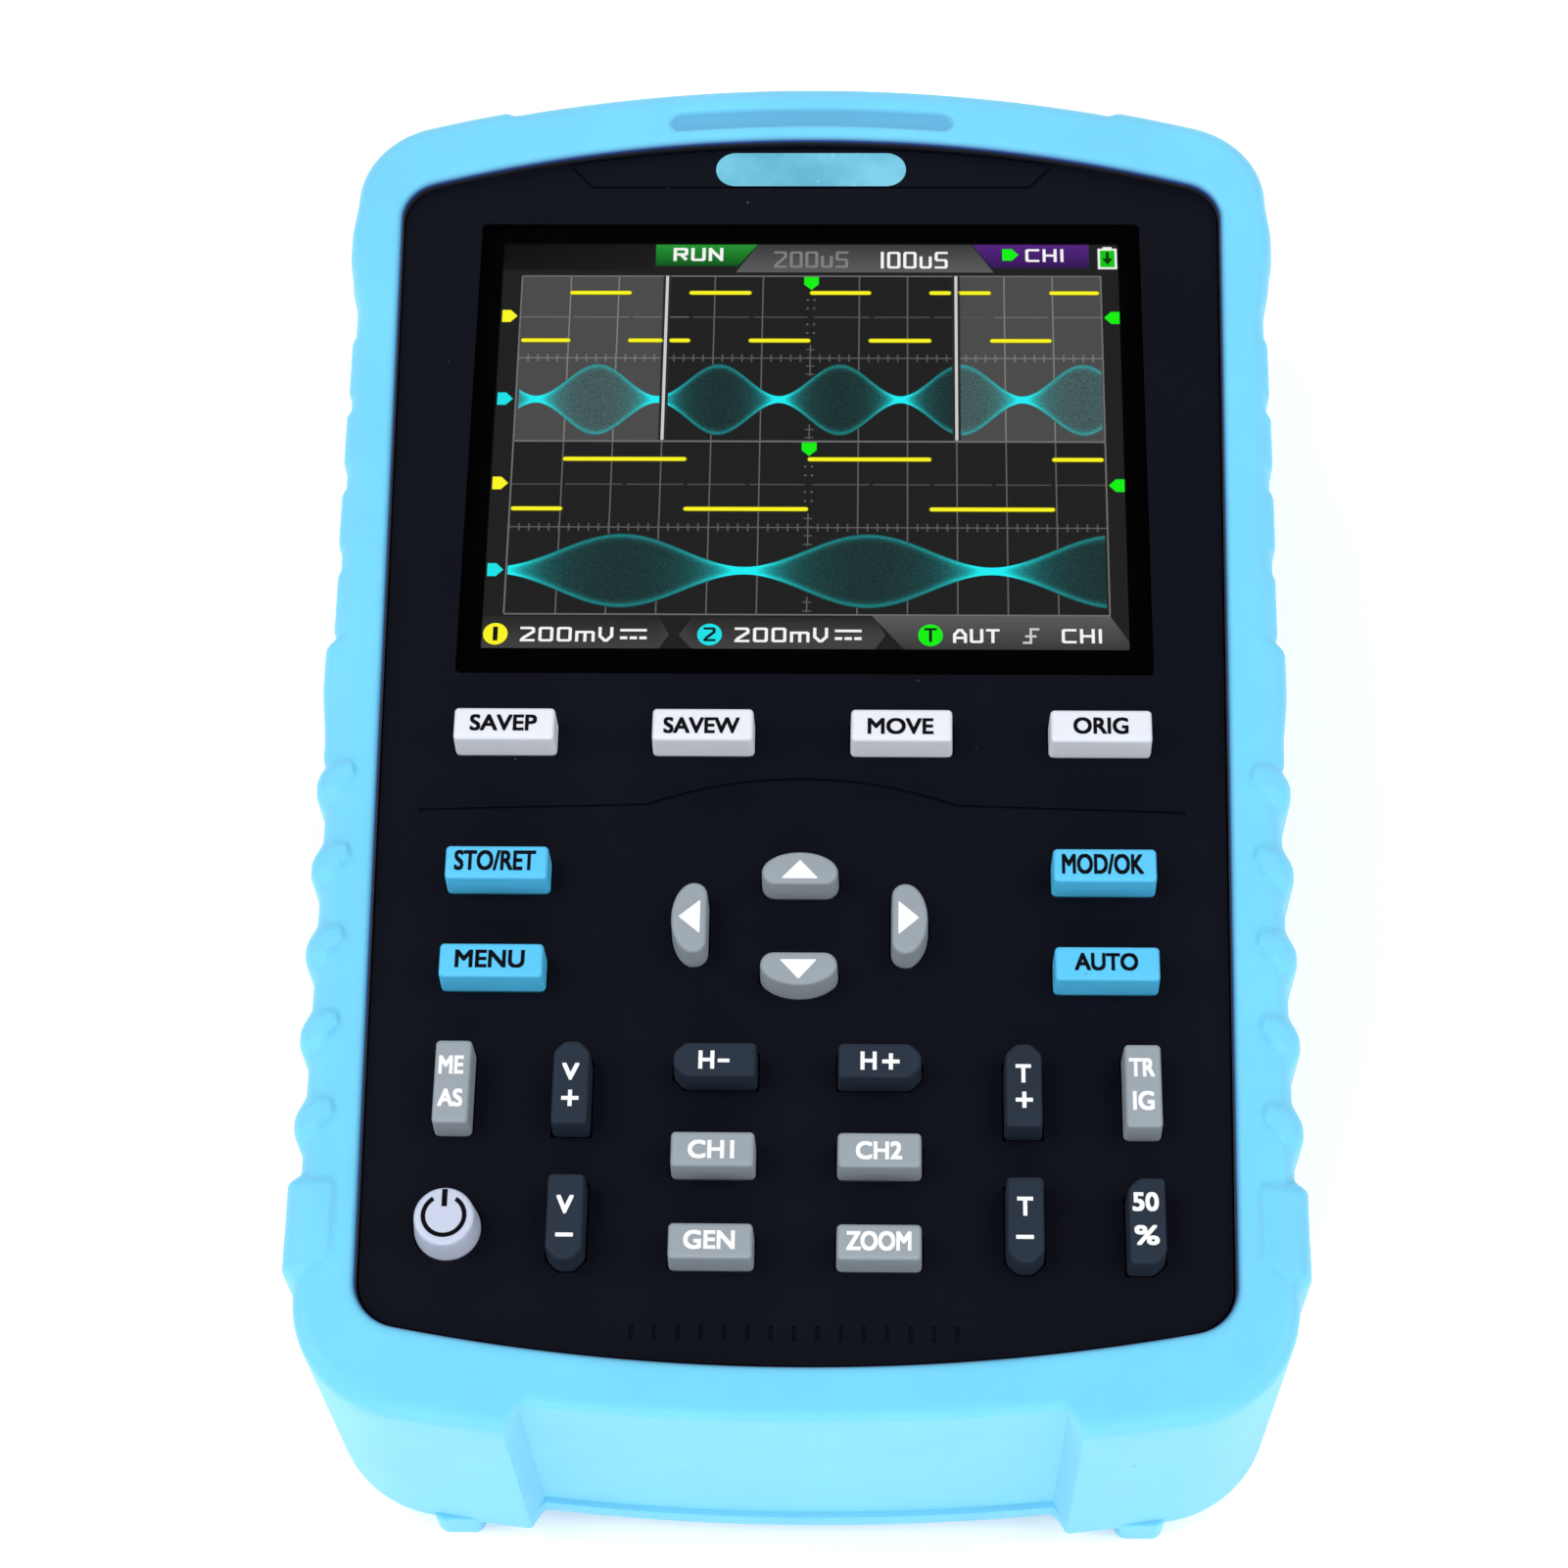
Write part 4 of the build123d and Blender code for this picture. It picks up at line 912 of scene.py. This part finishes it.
def sign_outlines(text, x0, x1, y0, y1):
    """The outline of a plus sign, or of a minus sign with softened corners."""
    cx, cy = (x0 + x1) / 2, (y0 + y1) / 2
    h, t = (x1 - x0) / 2, 0.17
    if text == "-":
        t = min(t, (y1 - y0) / 2)
        corners = ((-h, -t), (h, -t), (h, t), (-h, t))
        return [rounded_polygon([(cx + px, cy + py) for px, py in corners], [0.05] * 4, 3)]
    arm = ((t, -h), (t, -t), (h, -t))
    corners = [*arm, *((px, -py) for px, py in arm[::-1])]
    corners += [(-px, -py) for px, py in corners]
    return [[(cx + px, cy + py) for px, py in corners]]


def text_mesh(name, text, box, z, weight):
    """A word as a thin solid that fills a box of the drawing frame, in the built-in typeface.

    The strokes are made heavier, by weight on every side, with copies set off to the corners."""
    curve = bpy.data.curves.new(name, "FONT")
    curve.body = text
    curve.resolution_u = 5
    curve.extrude = 0.01
    holder = bpy.data.objects.new(name + "_text", curve)
    bpy.context.scene.collection.objects.link(holder)
    graph = bpy.context.evaluated_depsgraph_get()
    plain = bpy.data.meshes.new_from_object(holder.evaluated_get(graph))
    bpy.data.objects.remove(holder)
    spots = np.array([v.co[:] for v in plain.vertices])
    low, high = spots.min(0), spots.max(0)
    spots = (spots - low) / (high - low)
    faces = [tuple(p.vertices) for p in plain.polygons]
    x0, x1, y0, y1 = box
    parts = []
    for i, (dx, dy) in enumerate(((-1, -1), (1, -1), (1, 1), (-1, 1), (0, 0))):
        copy = spots * (x1 - x0 - 2 * weight, y1 - y0 - 2 * weight, PRINT)
        copy += (x0 + weight * (1 + dx), y0 + weight * (1 + dy), z - 0.001 * i)
        parts.append((copy.tolist(), faces))
    return mesh_of(name, *join(parts))


def arrow_outline(form):
    """The triangle on an arrow key, about the key's middle."""
    shapes = {
        0: ((-1.60, -1.06), (1.58, -1.06), (0.0, 0.68)),
        180: ((0.0, -1.04), (1.54, 0.76), (-1.62, 0.76)),
        90: ((0.95, -1.57), (0.95, 1.57), (-0.90, 0.0)),
        270: ((0.80, 0.0), (-0.97, 1.57), (-0.97, -1.57)),
    }
    return rounded_polygon(shapes[form], [0.06] * 3, 3)


def power_sign(x, y):
    """The open ring and the stroke of the power key."""
    outer, inner, gap = 1.87, 1.50, math.radians(33)
    turns = np.linspace(math.pi / 2 + gap, math.pi / 2 - gap + 2 * math.pi, 64)
    ring = arc(x, y + 0.03, outer, turns) + arc(x, y + 0.03, inner, turns[::-1])
    half, foot, top = 0.22, y + 0.80, y + 2.28
    return [ring, [(x - half, foot), (x + half, foot), (x + half, top), (x - half, top)]]


def make_keys():
    dark_ink = {"key_white", "key_blue", "key_power"}
    for name, (x, y, width, depth, form, legends) in KEYS.items():
        body = name + "_cap"
        kind = SLOT_OF[name]
        ink, weight = (INK_BLACK, 0.055) if kind in dark_ink else (INK_WHITE, 0.065)
        cap = mesh_of(name + "_top", *key_solid(x, y, width, depth, form), 35)
        piece = add_piece(name + "_top", cap, KEY_LOOKS[kind], body)
        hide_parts(name)
        outlines = []
        for i, (text, x0, x1, y0, y1) in enumerate(legends):
            box = (x + x0, x + x1, y + y0, y + y1)
            if text in "+-":
                outlines += sign_outlines(text, *box)
            else:
                mesh = text_mesh(f"{name}_legend{i}", text, box, FACE_TOP, weight)
                add_piece(mesh.name, mesh, ink, body)
        if form in TURNS:
            outlines.append([(x + px, y + py) for px, py in arrow_outline(form)])
        if form == "round":
            outlines += power_sign(x, y)
        if outlines:
            mesh = mesh_of(name + "_sign", *slab(outlines, FACE_TOP - 0.01, FACE_TOP + PRINT))
            add_piece(name + "_sign", outward(mesh), ink, body)


make_keys()

# ---------------------------------------------------------------------------- the display

LCD_WIDE, LCD_HIGH = 320, 240  # the display's own picture elements
ACTIVE, ACTIVE_AT = (57.62, 43.28), (0.03, 27.07)  # size and middle of the lit area
GREY_DARK, GREY_SHADE, GREY_LINE = (34, 34, 34), (76, 76, 76), (98, 98, 98)
YELLOW, CYAN, GREEN, WHITE = (250, 244, 40), (32, 226, 232), (24, 240, 24), (244, 244, 244)

# strokes of the squared lettering, on a cell 4 wide and 6 high, with each glyph's width
GLYPHS = {
    "R": (4.0, ((0, 0), (0, 6), (3.5, 6), (4, 5.5), (4, 3.4), (3.5, 3), (0, 3)), ((2.0, 3), (4.1, 0))),
    "U": (4.0, ((0, 6), (0, 0.5), (0.5, 0), (3.5, 0), (4, 0.5), (4, 6))),
    "N": (4.0, ((0, 0), (0, 6)), ((0.2, 5.6), (3.8, 0.4)), ((4, 0), (4, 6))),
    "2": (4.0, ((0, 6), (3.4, 6), (4, 5.4), (4, 4.2), (0.3, 0.9), (0, 0), (4, 0))),
    "0": (4.0, ((0.5, 0), (0, 0.5), (0, 5.5), (0.5, 6), (3.5, 6), (4, 5.5), (4, 0.5), (3.5, 0), (0.5, 0))),
    "u": (3.6, ((0, 4.1), (0, 0.5), (0.5, 0), (3.1, 0), (3.6, 0.5), (3.6, 4.1))),
    "S": (
        3.9,
        ((3.9, 6), (0.5, 6), (0, 5.5), (0, 3.5), (0.5, 3),
         (3.4, 3), (3.9, 2.5), (3.9, 0.5), (3.4, 0), (0, 0)),
    ),
    "1": (0.3, ((0.15, 0), (0.15, 6))),
    "C": (4.0, ((4, 6), (0.5, 6), (0, 5.5), (0, 0.5), (0.5, 0), (4, 0))),
    "H": (4.0, ((0, 0), (0, 6)), ((4, 0), (4, 6)), ((0, 3), (4, 3))),
    "m": (5.6, ((0, 0), (0, 4.1), (5.1, 4.1), (5.6, 3.6), (5.6, 0)), ((2.8, 4.1), (2.8, 0))),
    "V": (4.0, ((0, 6), (0, 2.2), (1.7, 0), (2.3, 0), (4, 2.2), (4, 6))),
    "A": (4.2, ((0, 0), (0, 3.6), (1.6, 6), (2.6, 6), (4.2, 3.6), (4.2, 0)), ((0, 2), (4.2, 2))),
    "T": (4.0, ((0, 6), (4, 6)), ((2, 6), (2, 0))),
}
GLYPH_GAP, GLYPH_HIGH, FLAT_STROKE = 2.3, 6, 0.85


class Picture:
    """Flat coloured shapes on the display, in its picture elements, with Y down from its top."""

    def __init__(self):
        self.points, self.faces, self.colours, self.grains = [], [], [], []
        self.nudge = 0.0  # moves what is drawn to the right, less and less towards the right edge

    def spot(self, x, y, layer):
        wide, high = ACTIVE
        x += self.nudge * (1 - x / LCD_WIDE)
        px = ACTIVE_AT[0] + (x / LCD_WIDE - 0.5) * wide
        py = ACTIVE_AT[1] - (y / LCD_HIGH - 0.5) * high
        return (px, py, LCD_TOP + 0.01 + 0.012 * layer)

    def shape(self, corners, colours, layer):
        """A polygon in one sRGB colour, or with a colour for each corner."""
        area = sum(a[0] * b[1] - b[0] * a[1] for a, b in zip(corners, corners[1:] + corners[:1]))
        if isinstance(colours[0], (int, float)):
            colours = [colours] * len(corners)
        if area > 0:
            corners, colours = corners[::-1], colours[::-1]
        start = len(self.points)
        self.points += [self.spot(x, y, layer) for x, y in corners]
        self.colours += [srgb(*c) for c in colours]
        self.grains += [0.0] * len(corners)
        self.faces.append(tuple(range(start, start + len(corners))))

    def box(self, x0, y0, x1, y1, colour, layer):
        self.shape([(x0, y0), (x1, y0), (x1, y1), (x0, y1)], colour, layer)

    def bar(self, x0, y0, x1, y1, colour, layer):
        """A trace segment along X with round ends and a dim rim."""
        half = (y1 - y0) / 2
        middle = (y0 + y1) / 2
        for grow, factor, step in ((0.45, 0.45, 0), (0.0, 1.0, 1)):
            h = half + grow
            ring = []
            for cx, start in ((x1 - half, -90), (x0 + half, 90)):
                ring += arc(cx, middle, h, np.radians(np.linspace(start, start + 180, 7)))
            self.shape(ring, tuple(c * factor for c in colour), layer + step)

    def disc(self, x, y, radius, colour, layer):
        self.shape(arc(x, y, radius, np.linspace(0, 2 * math.pi, 40, endpoint=False)), colour, layer)

    def stroke(self, a, b, width, height, colour, layer):
        """A stroke between two points, with squared ends; height is its width when it lies flat."""
        (x0, y0), (x1, y1) = a, b
        if abs(y1 - y0) < 1e-6 or abs(x1 - x0) < 1e-6:
            hx, hy = width / 2, height / 2
            self.box(min(x0, x1) - hx, min(y0, y1) - hy, max(x0, x1) + hx, max(y0, y1) + hy, colour, layer)
            return
        along = Vector((x1 - x0, y1 - y0)).normalized()
        side = Vector((-along.y, along.x)) * width / 2
        ends = [Vector(a) + side, Vector(b) + side, Vector(b) - side, Vector(a) - side]
        self.shape([tuple(p) for p in ends], colour, layer)

    def text(self, word, x0, x1, y0, y1, colour, layer, weight=1.55):
        """Squared lettering that fills a box from x0 to x1, its capitals from y0 down to y1."""
        total = sum(GLYPHS[c][0] for c in word) + GLYPH_GAP * (len(word) - 1)
        flat = weight * FLAT_STROKE
        scale_x, scale_y = (x1 - x0 - weight) / total, (y1 - y0 - flat) / GLYPH_HIGH
        x, base = x0 + weight / 2, y1 - flat / 2
        for letter in word:
            width, *lines = GLYPHS[letter]
            for line in lines:
                spots = [(x + px * scale_x, base - py * scale_y) for px, py in line]
                for a, b in zip(spots, spots[1:]):
                    self.stroke(a, b, weight, flat, colour, layer)
            x += (width + GLYPH_GAP) * scale_x

    def beat(self, start, stop, middle, reach, node, antinode, period, ground, layer):
        """The swelling carrier of channel two: dim inside, brighter at its rims and its necks."""
        lit = np.array((34, 240, 244))
        depths = np.array((-0.8, 0.0, 0.5, 1.1, 1.8, 2.8, 4.5))
        rims = np.array((0.0, 0.26, 0.37, 0.3, 0.16, 0.06, 0.0))
        dim = np.array(ground) + (-4, 2, 2)
        columns = np.linspace(start, stop, int((stop - start) * 2) + 2)
        first = len(self.points)
        for x in columns:
            half = node + (reach - node) * (0.5 + 0.5 * math.cos(2 * math.pi * (x - antinode) / period))
            neck = min(1.0, (node * 1.2 / half) ** 1.15)
            heights = half - depths * min(1.0, half / 6)
            lights = np.minimum(1.0, rims + neck)
            lights[0] = 0.0
            rows = [*zip(heights, lights), (0.0, neck), *zip(-heights[::-1], lights[::-1])]
            for i, (height, light) in enumerate(rows):
                colour = np.array(ground) if i in (0, len(rows) - 1) else dim + (lit - dim) * light
                self.points.append(self.spot(x, middle - height, layer))
                self.colours.append(srgb(*np.minimum(colour, 255)))
                self.grains.append(0.24 * (1 - light) if 0 < i < len(rows) - 1 else 0.0)
        n = len(rows)
        for i in range(len(columns) - 1):
            for j in range(n - 1):
                a = first + i * n + j
                self.faces.append((a, a + n, a + n + 1, a + 1))

    def mesh(self, name):
        mesh = mesh_of(name, self.points, self.faces)
        tint = mesh.attributes.new("tint", "FLOAT_COLOR", "POINT")
        tint.data.foreach_set("color", [v for c in self.colours for v in (*c, 1.0)])
        grain = mesh.attributes.new("grain", "FLOAT", "POINT")
        grain.data.foreach_set("value", self.grains)
        return mesh


TICK, BORDER = (88, 88, 88), (112, 112, 112)
DASH_STARTS = (37, 68, 99, 130.5, 162, 193, 224, 255, 285)
DASH_ENDS = (35, 66, 97, 128.5, 158.5, 191, 222, 253, 283)
CASE, INK = (236, 240, 236), (10, 60, 14)  # the battery sign's shell and its arrow


GRAPH_HIGH, UPPER_TOP, LOWER_TOP = 100, 20.0, 120.4
SQUARE_LOW = 39.7  # the square wave's low level below its graph's top


def draw_graph(picture, top, segments, beats, pale=()):
    """One of the two graphs: its grid, axes, square wave and swelling carrier.

    Within the pale spans, given as pairs along X, the thin lines are a little brighter."""

    def line(x, colour):
        lift = 28 if any(a < x < b for a, b in pale) else 0
        return tuple(c + lift for c in colour)

    left, right, bottom = 9.6, 310.6, top + GRAPH_HIGH
    centre, axis = 160.3, top + 50.2
    for k in range(1, 12):
        x = 10 + 25.05 * k
        if k != 6:
            picture.box(x - 0.35, top, x + 0.35, bottom, line(x, GREY_LINE), 3)
    for a, b in zip((left, *DASH_STARTS), (*DASH_ENDS, right)):
        picture.box(a, top + 24.9, b, top + 25.5, line(a + 1, (86, 86, 86)), 3)
    for a, b in ((left, 85), (85, 235.5), (235.5, right)):
        picture.box(a, axis - 0.3, b, axis + 0.3, line(a + 1, GREY_LINE), 3)
    for k in range(60):
        x = left + 5.02 * k
        picture.box(x - 0.4, axis - 2.2, x + 0.4, axis + 2.2, line(x, TICK), 3)
    for low, high in ((42, 61), (90, 98.5)):
        picture.box(centre - 0.3, top + low, centre + 0.3, top + high, GREY_LINE, 3)
        for k in range(int(low), int(high), 5):
            picture.box(centre - 2.2, top + k + 2.6, centre + 2.2, top + k + 3.3, TICK, 3)
    for k in (14.6, 19.8, 29.6, 34.8):
        for x in (centre - 1.7, centre + 1.7):
            picture.box(x - 0.5, top + k - 0.5, x + 0.5, top + k + 0.5, (104, 104, 104), 3)
    picture.box(left, top - 0.5, right + 0.5, top + 0.3, BORDER, 4)
    picture.box(left - 0.6, top, left + 0.2, bottom, BORDER, 4)
    picture.box(right - 0.2, top, right + 0.6, bottom, BORDER, 4)
    picture.box(left, bottom - 0.3, right + 0.5, bottom + 0.5, BORDER, 4)
    for height, spans in segments:
        for a, b in spans:
            picture.bar(a, top + height - 1.05, b, top + height + 1.05, YELLOW, 7)
    for beat in beats:
        picture.beat(*beat, 5)
    for x, colour, y, way in ((0, YELLOW, 24.9, 1), (0, CYAN, 75.2, 1), (LCD_WIDE, GREEN, 25.6, -1)):
        flat, tip = x + way * 4.4, x + way * 8.0
        upper, middle, lower = top + y - 3.7, top + y, top + y + 3.7
        picture.shape([(x, upper), (flat, upper), (tip, middle), (flat, lower), (x, lower)], colour, 9)
    upper, lower, tip = top + 0.6, top + 5.2, top + 8.6
    picture.shape([(156.6, upper), (164.2, upper), (164.2, lower), (160.4, tip), (156.6, lower)], GREEN, 9)


def draw_bars(picture):
    """The bands of readings over and under the graphs."""
    greens = [(38, 150, 52)] * 2 + [(16, 84, 30)] * 2
    picture.shape([(79.4, 0), (132.4, 0), (122.4, 13.4), (79.4, 13.4)], greens, 1)
    picture.text("RUN", 88.6, 114.6, 2.2, 10.4, WHITE, 3, 1.75)
    greys = [(58, 58, 58)] * 2 + [(92, 92, 92)] * 2
    picture.shape([(132.6, 0), (244, 0), (255.4, 17.4), (121.4, 17.4)], greys, 2)
    picture.text("200uS", 141.2, 179.8, 4.4, 14.6, (128, 128, 128), 4)
    picture.text("100uS", 196.6, 231.6, 4.6, 15.0, WHITE, 4)
    violets = [(84, 38, 128)] * 2 + [(52, 24, 84)] * 2
    picture.shape([(244.6, 0), (305, 0), (305, 14.6), (254.4, 14.6)], violets, 1)
    picture.shape([(260, 2.8), (265, 2.8), (268.4, 6.4), (265, 10), (260, 10)], GREEN, 3)
    picture.text("CH1", 272, 292, 2.8, 10.8, WHITE, 3)
    picture.box(309.6, 2.4, 319.6, 15.2, CASE, 1)
    picture.box(312.2, 1.4, 317.0, 2.6, CASE, 1)
    picture.box(310.8, 3.6, 318.4, 14.0, (28, 196, 28), 2)
    picture.box(313.8, 4.6, 315.4, 10.0, INK, 3)
    picture.shape([(311.8, 8.6), (317.4, 8.6), (314.6, 12.6)], INK, 4)
    tag_top, tag_low = (40, 40, 40), (66, 66, 66)
    first = [(0, 221.6), (87.5, 221.6), (92.8, 232), (87.5, 240), (0, 240)]
    second = [(104.5, 221.6), (194.5, 221.6), (199.8, 232), (194.5, 240), (104.5, 240), (97.6, 232)]
    for tag in (first, second):
        picture.shape(tag, [tag_top if y < 225 else tag_low for _, y in tag], 1)
    greys = [(90, 90, 90)] * 2 + [(62, 62, 62)] + [(58, 58, 58)] * 2
    picture.shape([(193, 220.8), (311, 220.8), (320, 235), (320, 240), (209.4, 240)], greys, 2)
    dark = (20, 22, 24)
    discs = ((6.7, YELLOW, "1", 2.6, 2.4), (112.9, CYAN, "2", 6.0, 1.5), (222.1, GREEN, "T", 6.2, 1.5))
    for x, colour, letter, width, weight in discs:
        picture.disc(x, 231.8, 6.1, colour, 3)
        picture.text(letter, x - width / 2, x + width / 2, 227.8, 235.6, dark, 4, weight)
    for x in (19, 125.3):
        picture.text("200mV", x, x + 46.2, 227.8, 236.0, WHITE, 3)
        picture.box(x + 49.6, 228.8, x + 62.8, 230.2, WHITE, 3)
        for k in range(3):
            picture.box(x + 49.6 + 4.8 * k, 233.0, x + 53.2 + 4.8 * k, 234.6, WHITE, 3)
    picture.text("AUT", 233.2, 256.2, 228.2, 236.0, WHITE, 3)
    edge = ((268.2, 235.8), (271.6, 235.8), (271.6, 228.2), (275.2, 228.2))
    for a, b in (*zip(edge, edge[1:]), ((269.4, 232.2), (273.8, 232.2))):
        picture.stroke(a, b, 1.2, 1.2, (205, 205, 205), 3)
    picture.text("CH1", 286.8, 306.8, 228.0, 236.0, WHITE, 3)


def make_display():
    picture = Picture()
    picture.box(0, 0, LCD_WIDE, LCD_HIGH, GREY_DARK, 0)
    greys = [(v, v, v) for v in (14, 26, 30, 22)]
    picture.shape([(0, 0), (79.4, 0), (79.4, 16), (0, 16)], greys, 1)
    draw_bars(picture)
    picture.nudge = 0.9
    top = UPPER_TOP
    for x0, x1 in ((9.6, 85.2), (235.6, 310.6)):
        picture.box(x0, top, x1, top + GRAPH_HIGH, GREY_SHADE, 1)
    for x in (85.3, 235.5):
        picture.box(x - 2.1, top, x + 2.1, top + 99.6, (44, 44, 44), 8)
        picture.box(x - 0.75, top, x + 0.75, top + 99.6, (206, 206, 206), 9)
    high = ((34.8, 66.8), (97, 129.2), (159.8, 191.4), (221.8, 232.9), (236.6, 253.6), (284, 309.7))
    low = ((10.6, 36), (66, 84.2), (87.4, 98), (128.4, 160.2), (190.4, 222.6), (253, 284.6))
    beats = [  # the arguments of Picture.beat, up to its ground
        (11.0, 84.2, 95.3, 20.8, 1.9, 51.0, 62.3, GREY_SHADE),
        (87.6, 233.4, 95.3, 20.8, 1.9, 113.4, 62.3, GREY_DARK),
        (237.4, 309.7, 95.3, 20.8, 1.9, 238.0, 62.3, GREY_SHADE),
    ]
    draw_graph(picture, top, ((10.4, high), (SQUARE_LOW, low)), beats, ((9, 85), (235.6, 312)))
    high = ((35.2, 98), (159.8, 222.4), (283.8, 309.7))
    low = ((10.2, 36), (97.4, 160.2), (221.6, 284.6))
    beats = [(10.2, 309.4, 195.6, 20.6, 2.0, 66.8, 123.8, GREY_DARK)]
    draw_graph(picture, LOWER_TOP, ((10.5, high), (SQUARE_LOW, low)), beats)

    n = Nodes("display_glow")
    tint = n.new("ShaderNodeAttribute", attribute_name="tint").outputs["Color"]
    grain = n.new("ShaderNodeAttribute", attribute_name="grain").outputs["Fac"]
    weave = n.noise(5200, 1.0)
    change = n.math("MULTIPLY", grain, n.ramp(weave, (0.35, 0.65), (-1, 1)))
    light = n.math("ADD", 1.0, change)
    shown = n.new("ShaderNodeVectorMath", operation="SCALE")
    n.link(tint, shown.inputs[0])
    n.link(light, shown.inputs["Scale"])
    n.set(base=(0.0, 0.0, 0.0), rough=1.0, specular=0.0, glow=shown.outputs[0], glow_strength=1.0)
    add_piece("display_picture", picture.mesh("display_picture"), n.material)


def make_lens_print():
    """The window's black border: round the display on its under side, and up its edge."""
    skin, gap, corner = 0.02, 0.1, 0.45
    low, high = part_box("screen_lens")
    x0, x1 = low.x / MM + skin, high.x / MM - skin
    y0, y1 = low.y / MM - SHIFT + skin, high.y / MM - SHIFT - skin
    hole = (ACTIVE[0] / 2 + gap, ACTIVE[1] / 2 + gap)

    def ring(left, right, bottom, top, radius):
        return rounded_polygon([(left, bottom), (right, bottom), (right, top), (left, top)], [radius] * 4)

    ax, ay = ACTIVE_AT
    inner = ring(ax - hole[0], ax + hole[0], ay - hole[1], ay + hole[1], 0.1)
    outer = ring(x0, x1, y0, y1, corner)
    within = ring(x0 + skin, x1 - skin, y0 + skin, y1 - skin, corner - skin)
    under, upper, rim = LENS_UNDER + 0.01, LENS_UNDER + 0.01 + skin, PANEL - skin
    profile = ((inner, under), (inner, upper), (within, upper), (within, rim), (outer, rim), (outer, under))
    n = len(inner)
    points = [(*p, z) for spots, z in profile for p in spots]
    faces = []
    for j in range(len(profile)):
        a, b = j * n, (j + 1) % len(profile) * n
        faces += [(a + i, a + (i + 1) % n, b + (i + 1) % n, b + i) for i in range(n)]
    mesh = outward(mesh_of("lens_print", points, faces))
    look = Nodes("lens_print_look")
    shades = ((0.0002, 0.0002, 0.0003), (0.0005, 0.0005, 0.0006))
    look.set(base=look.mix(look.noise(400, 2.0), *shades), rough=0.9, specular=0.0)
    add_piece("lens_print", mesh, look.material)


make_display()
make_lens_print()

# ---------------------------------------------------------------------------- floor, light, camera


def make_stage():
    mesh = bpy.data.meshes.new("floor")
    size = 3.0
    corners = [(-size, -size, 0), (size, -size, 0), (size, size, 0), (-size, size, 0)]
    mesh.from_pydata(corners, [], [(0, 1, 2, 3)])
    floor = bpy.data.objects.new("floor", mesh)
    bpy.context.scene.collection.objects.link(floor)
    n = Nodes("floor_look")
    n.set(base=n.mix(n.noise(30, 3.0), (0.96, 0.96, 0.96), (0.98, 0.98, 0.98)), rough=0.9, specular=0.1)
    n.set(glow=(1.0, 1.0, 1.0), glow_strength=0.1)
    mesh.materials.append(n.material)


# lamps: name, place and size in metres, and power in watts
LAMPS = (
    ("left_box", (-0.75, 0.0, 0.75), (0.7, 1.0), 8.5),
    ("right_box", (0.75, 0.0, 0.75), (0.7, 1.0), 7.6),
    ("front_box", (0.0, -0.95, 0.5), (1.2, 0.5), 8.4),
    ("back_box", (0.0, 0.9, 0.45), (1.2, 0.4), 3.2),
)
SKY, SKY_STRENGTH = (0.93, 0.96, 1.0, 1.0), 0.22
CAMERA_AT = (6.433, LCD_Y - 175.37, LCD_TOP + 284.42)
CAMERA_TURN, CAMERA_LENS = (26.297, 1.183, 0.878), 83.52  # degrees, and millimetres


def area_light(name, place, size, power):
    """A rectangular soft light at a place, in metres, turned to the origin."""
    data = bpy.data.lights.new(name, "AREA")
    data.shape = "RECTANGLE"
    data.size, data.size_y = size
    data.energy = power
    light = bpy.data.objects.new(name, data)
    bpy.context.scene.collection.objects.link(light)
    light.location = place
    light.rotation_euler = (-Vector(place)).to_track_quat("-Z", "Y").to_euler()


def make_lights():
    world = bpy.data.worlds.new("studio")
    bpy.context.scene.world = world
    world.use_nodes = True
    background = world.node_tree.nodes["Background"]
    background.inputs["Color"].default_value = SKY
    background.inputs["Strength"].default_value = SKY_STRENGTH
    for name, place, size, power in LAMPS:
        area_light(name, place, size, power)


def make_camera():
    data = bpy.data.cameras.new("camera")
    data.sensor_width = 36.0
    data.lens = CAMERA_LENS
    camera = bpy.data.objects.new("camera", data)
    bpy.context.scene.collection.objects.link(camera)
    camera.location = at(*CAMERA_AT)
    camera.rotation_euler = [math.radians(v) for v in CAMERA_TURN]
    data.clip_start = 0.01
    bpy.context.scene.camera = camera


make_stage()
make_lights()
make_camera()
bpy.context.scene.view_settings.view_transform = "Standard"
bpy.context.scene.view_settings.look = "None"
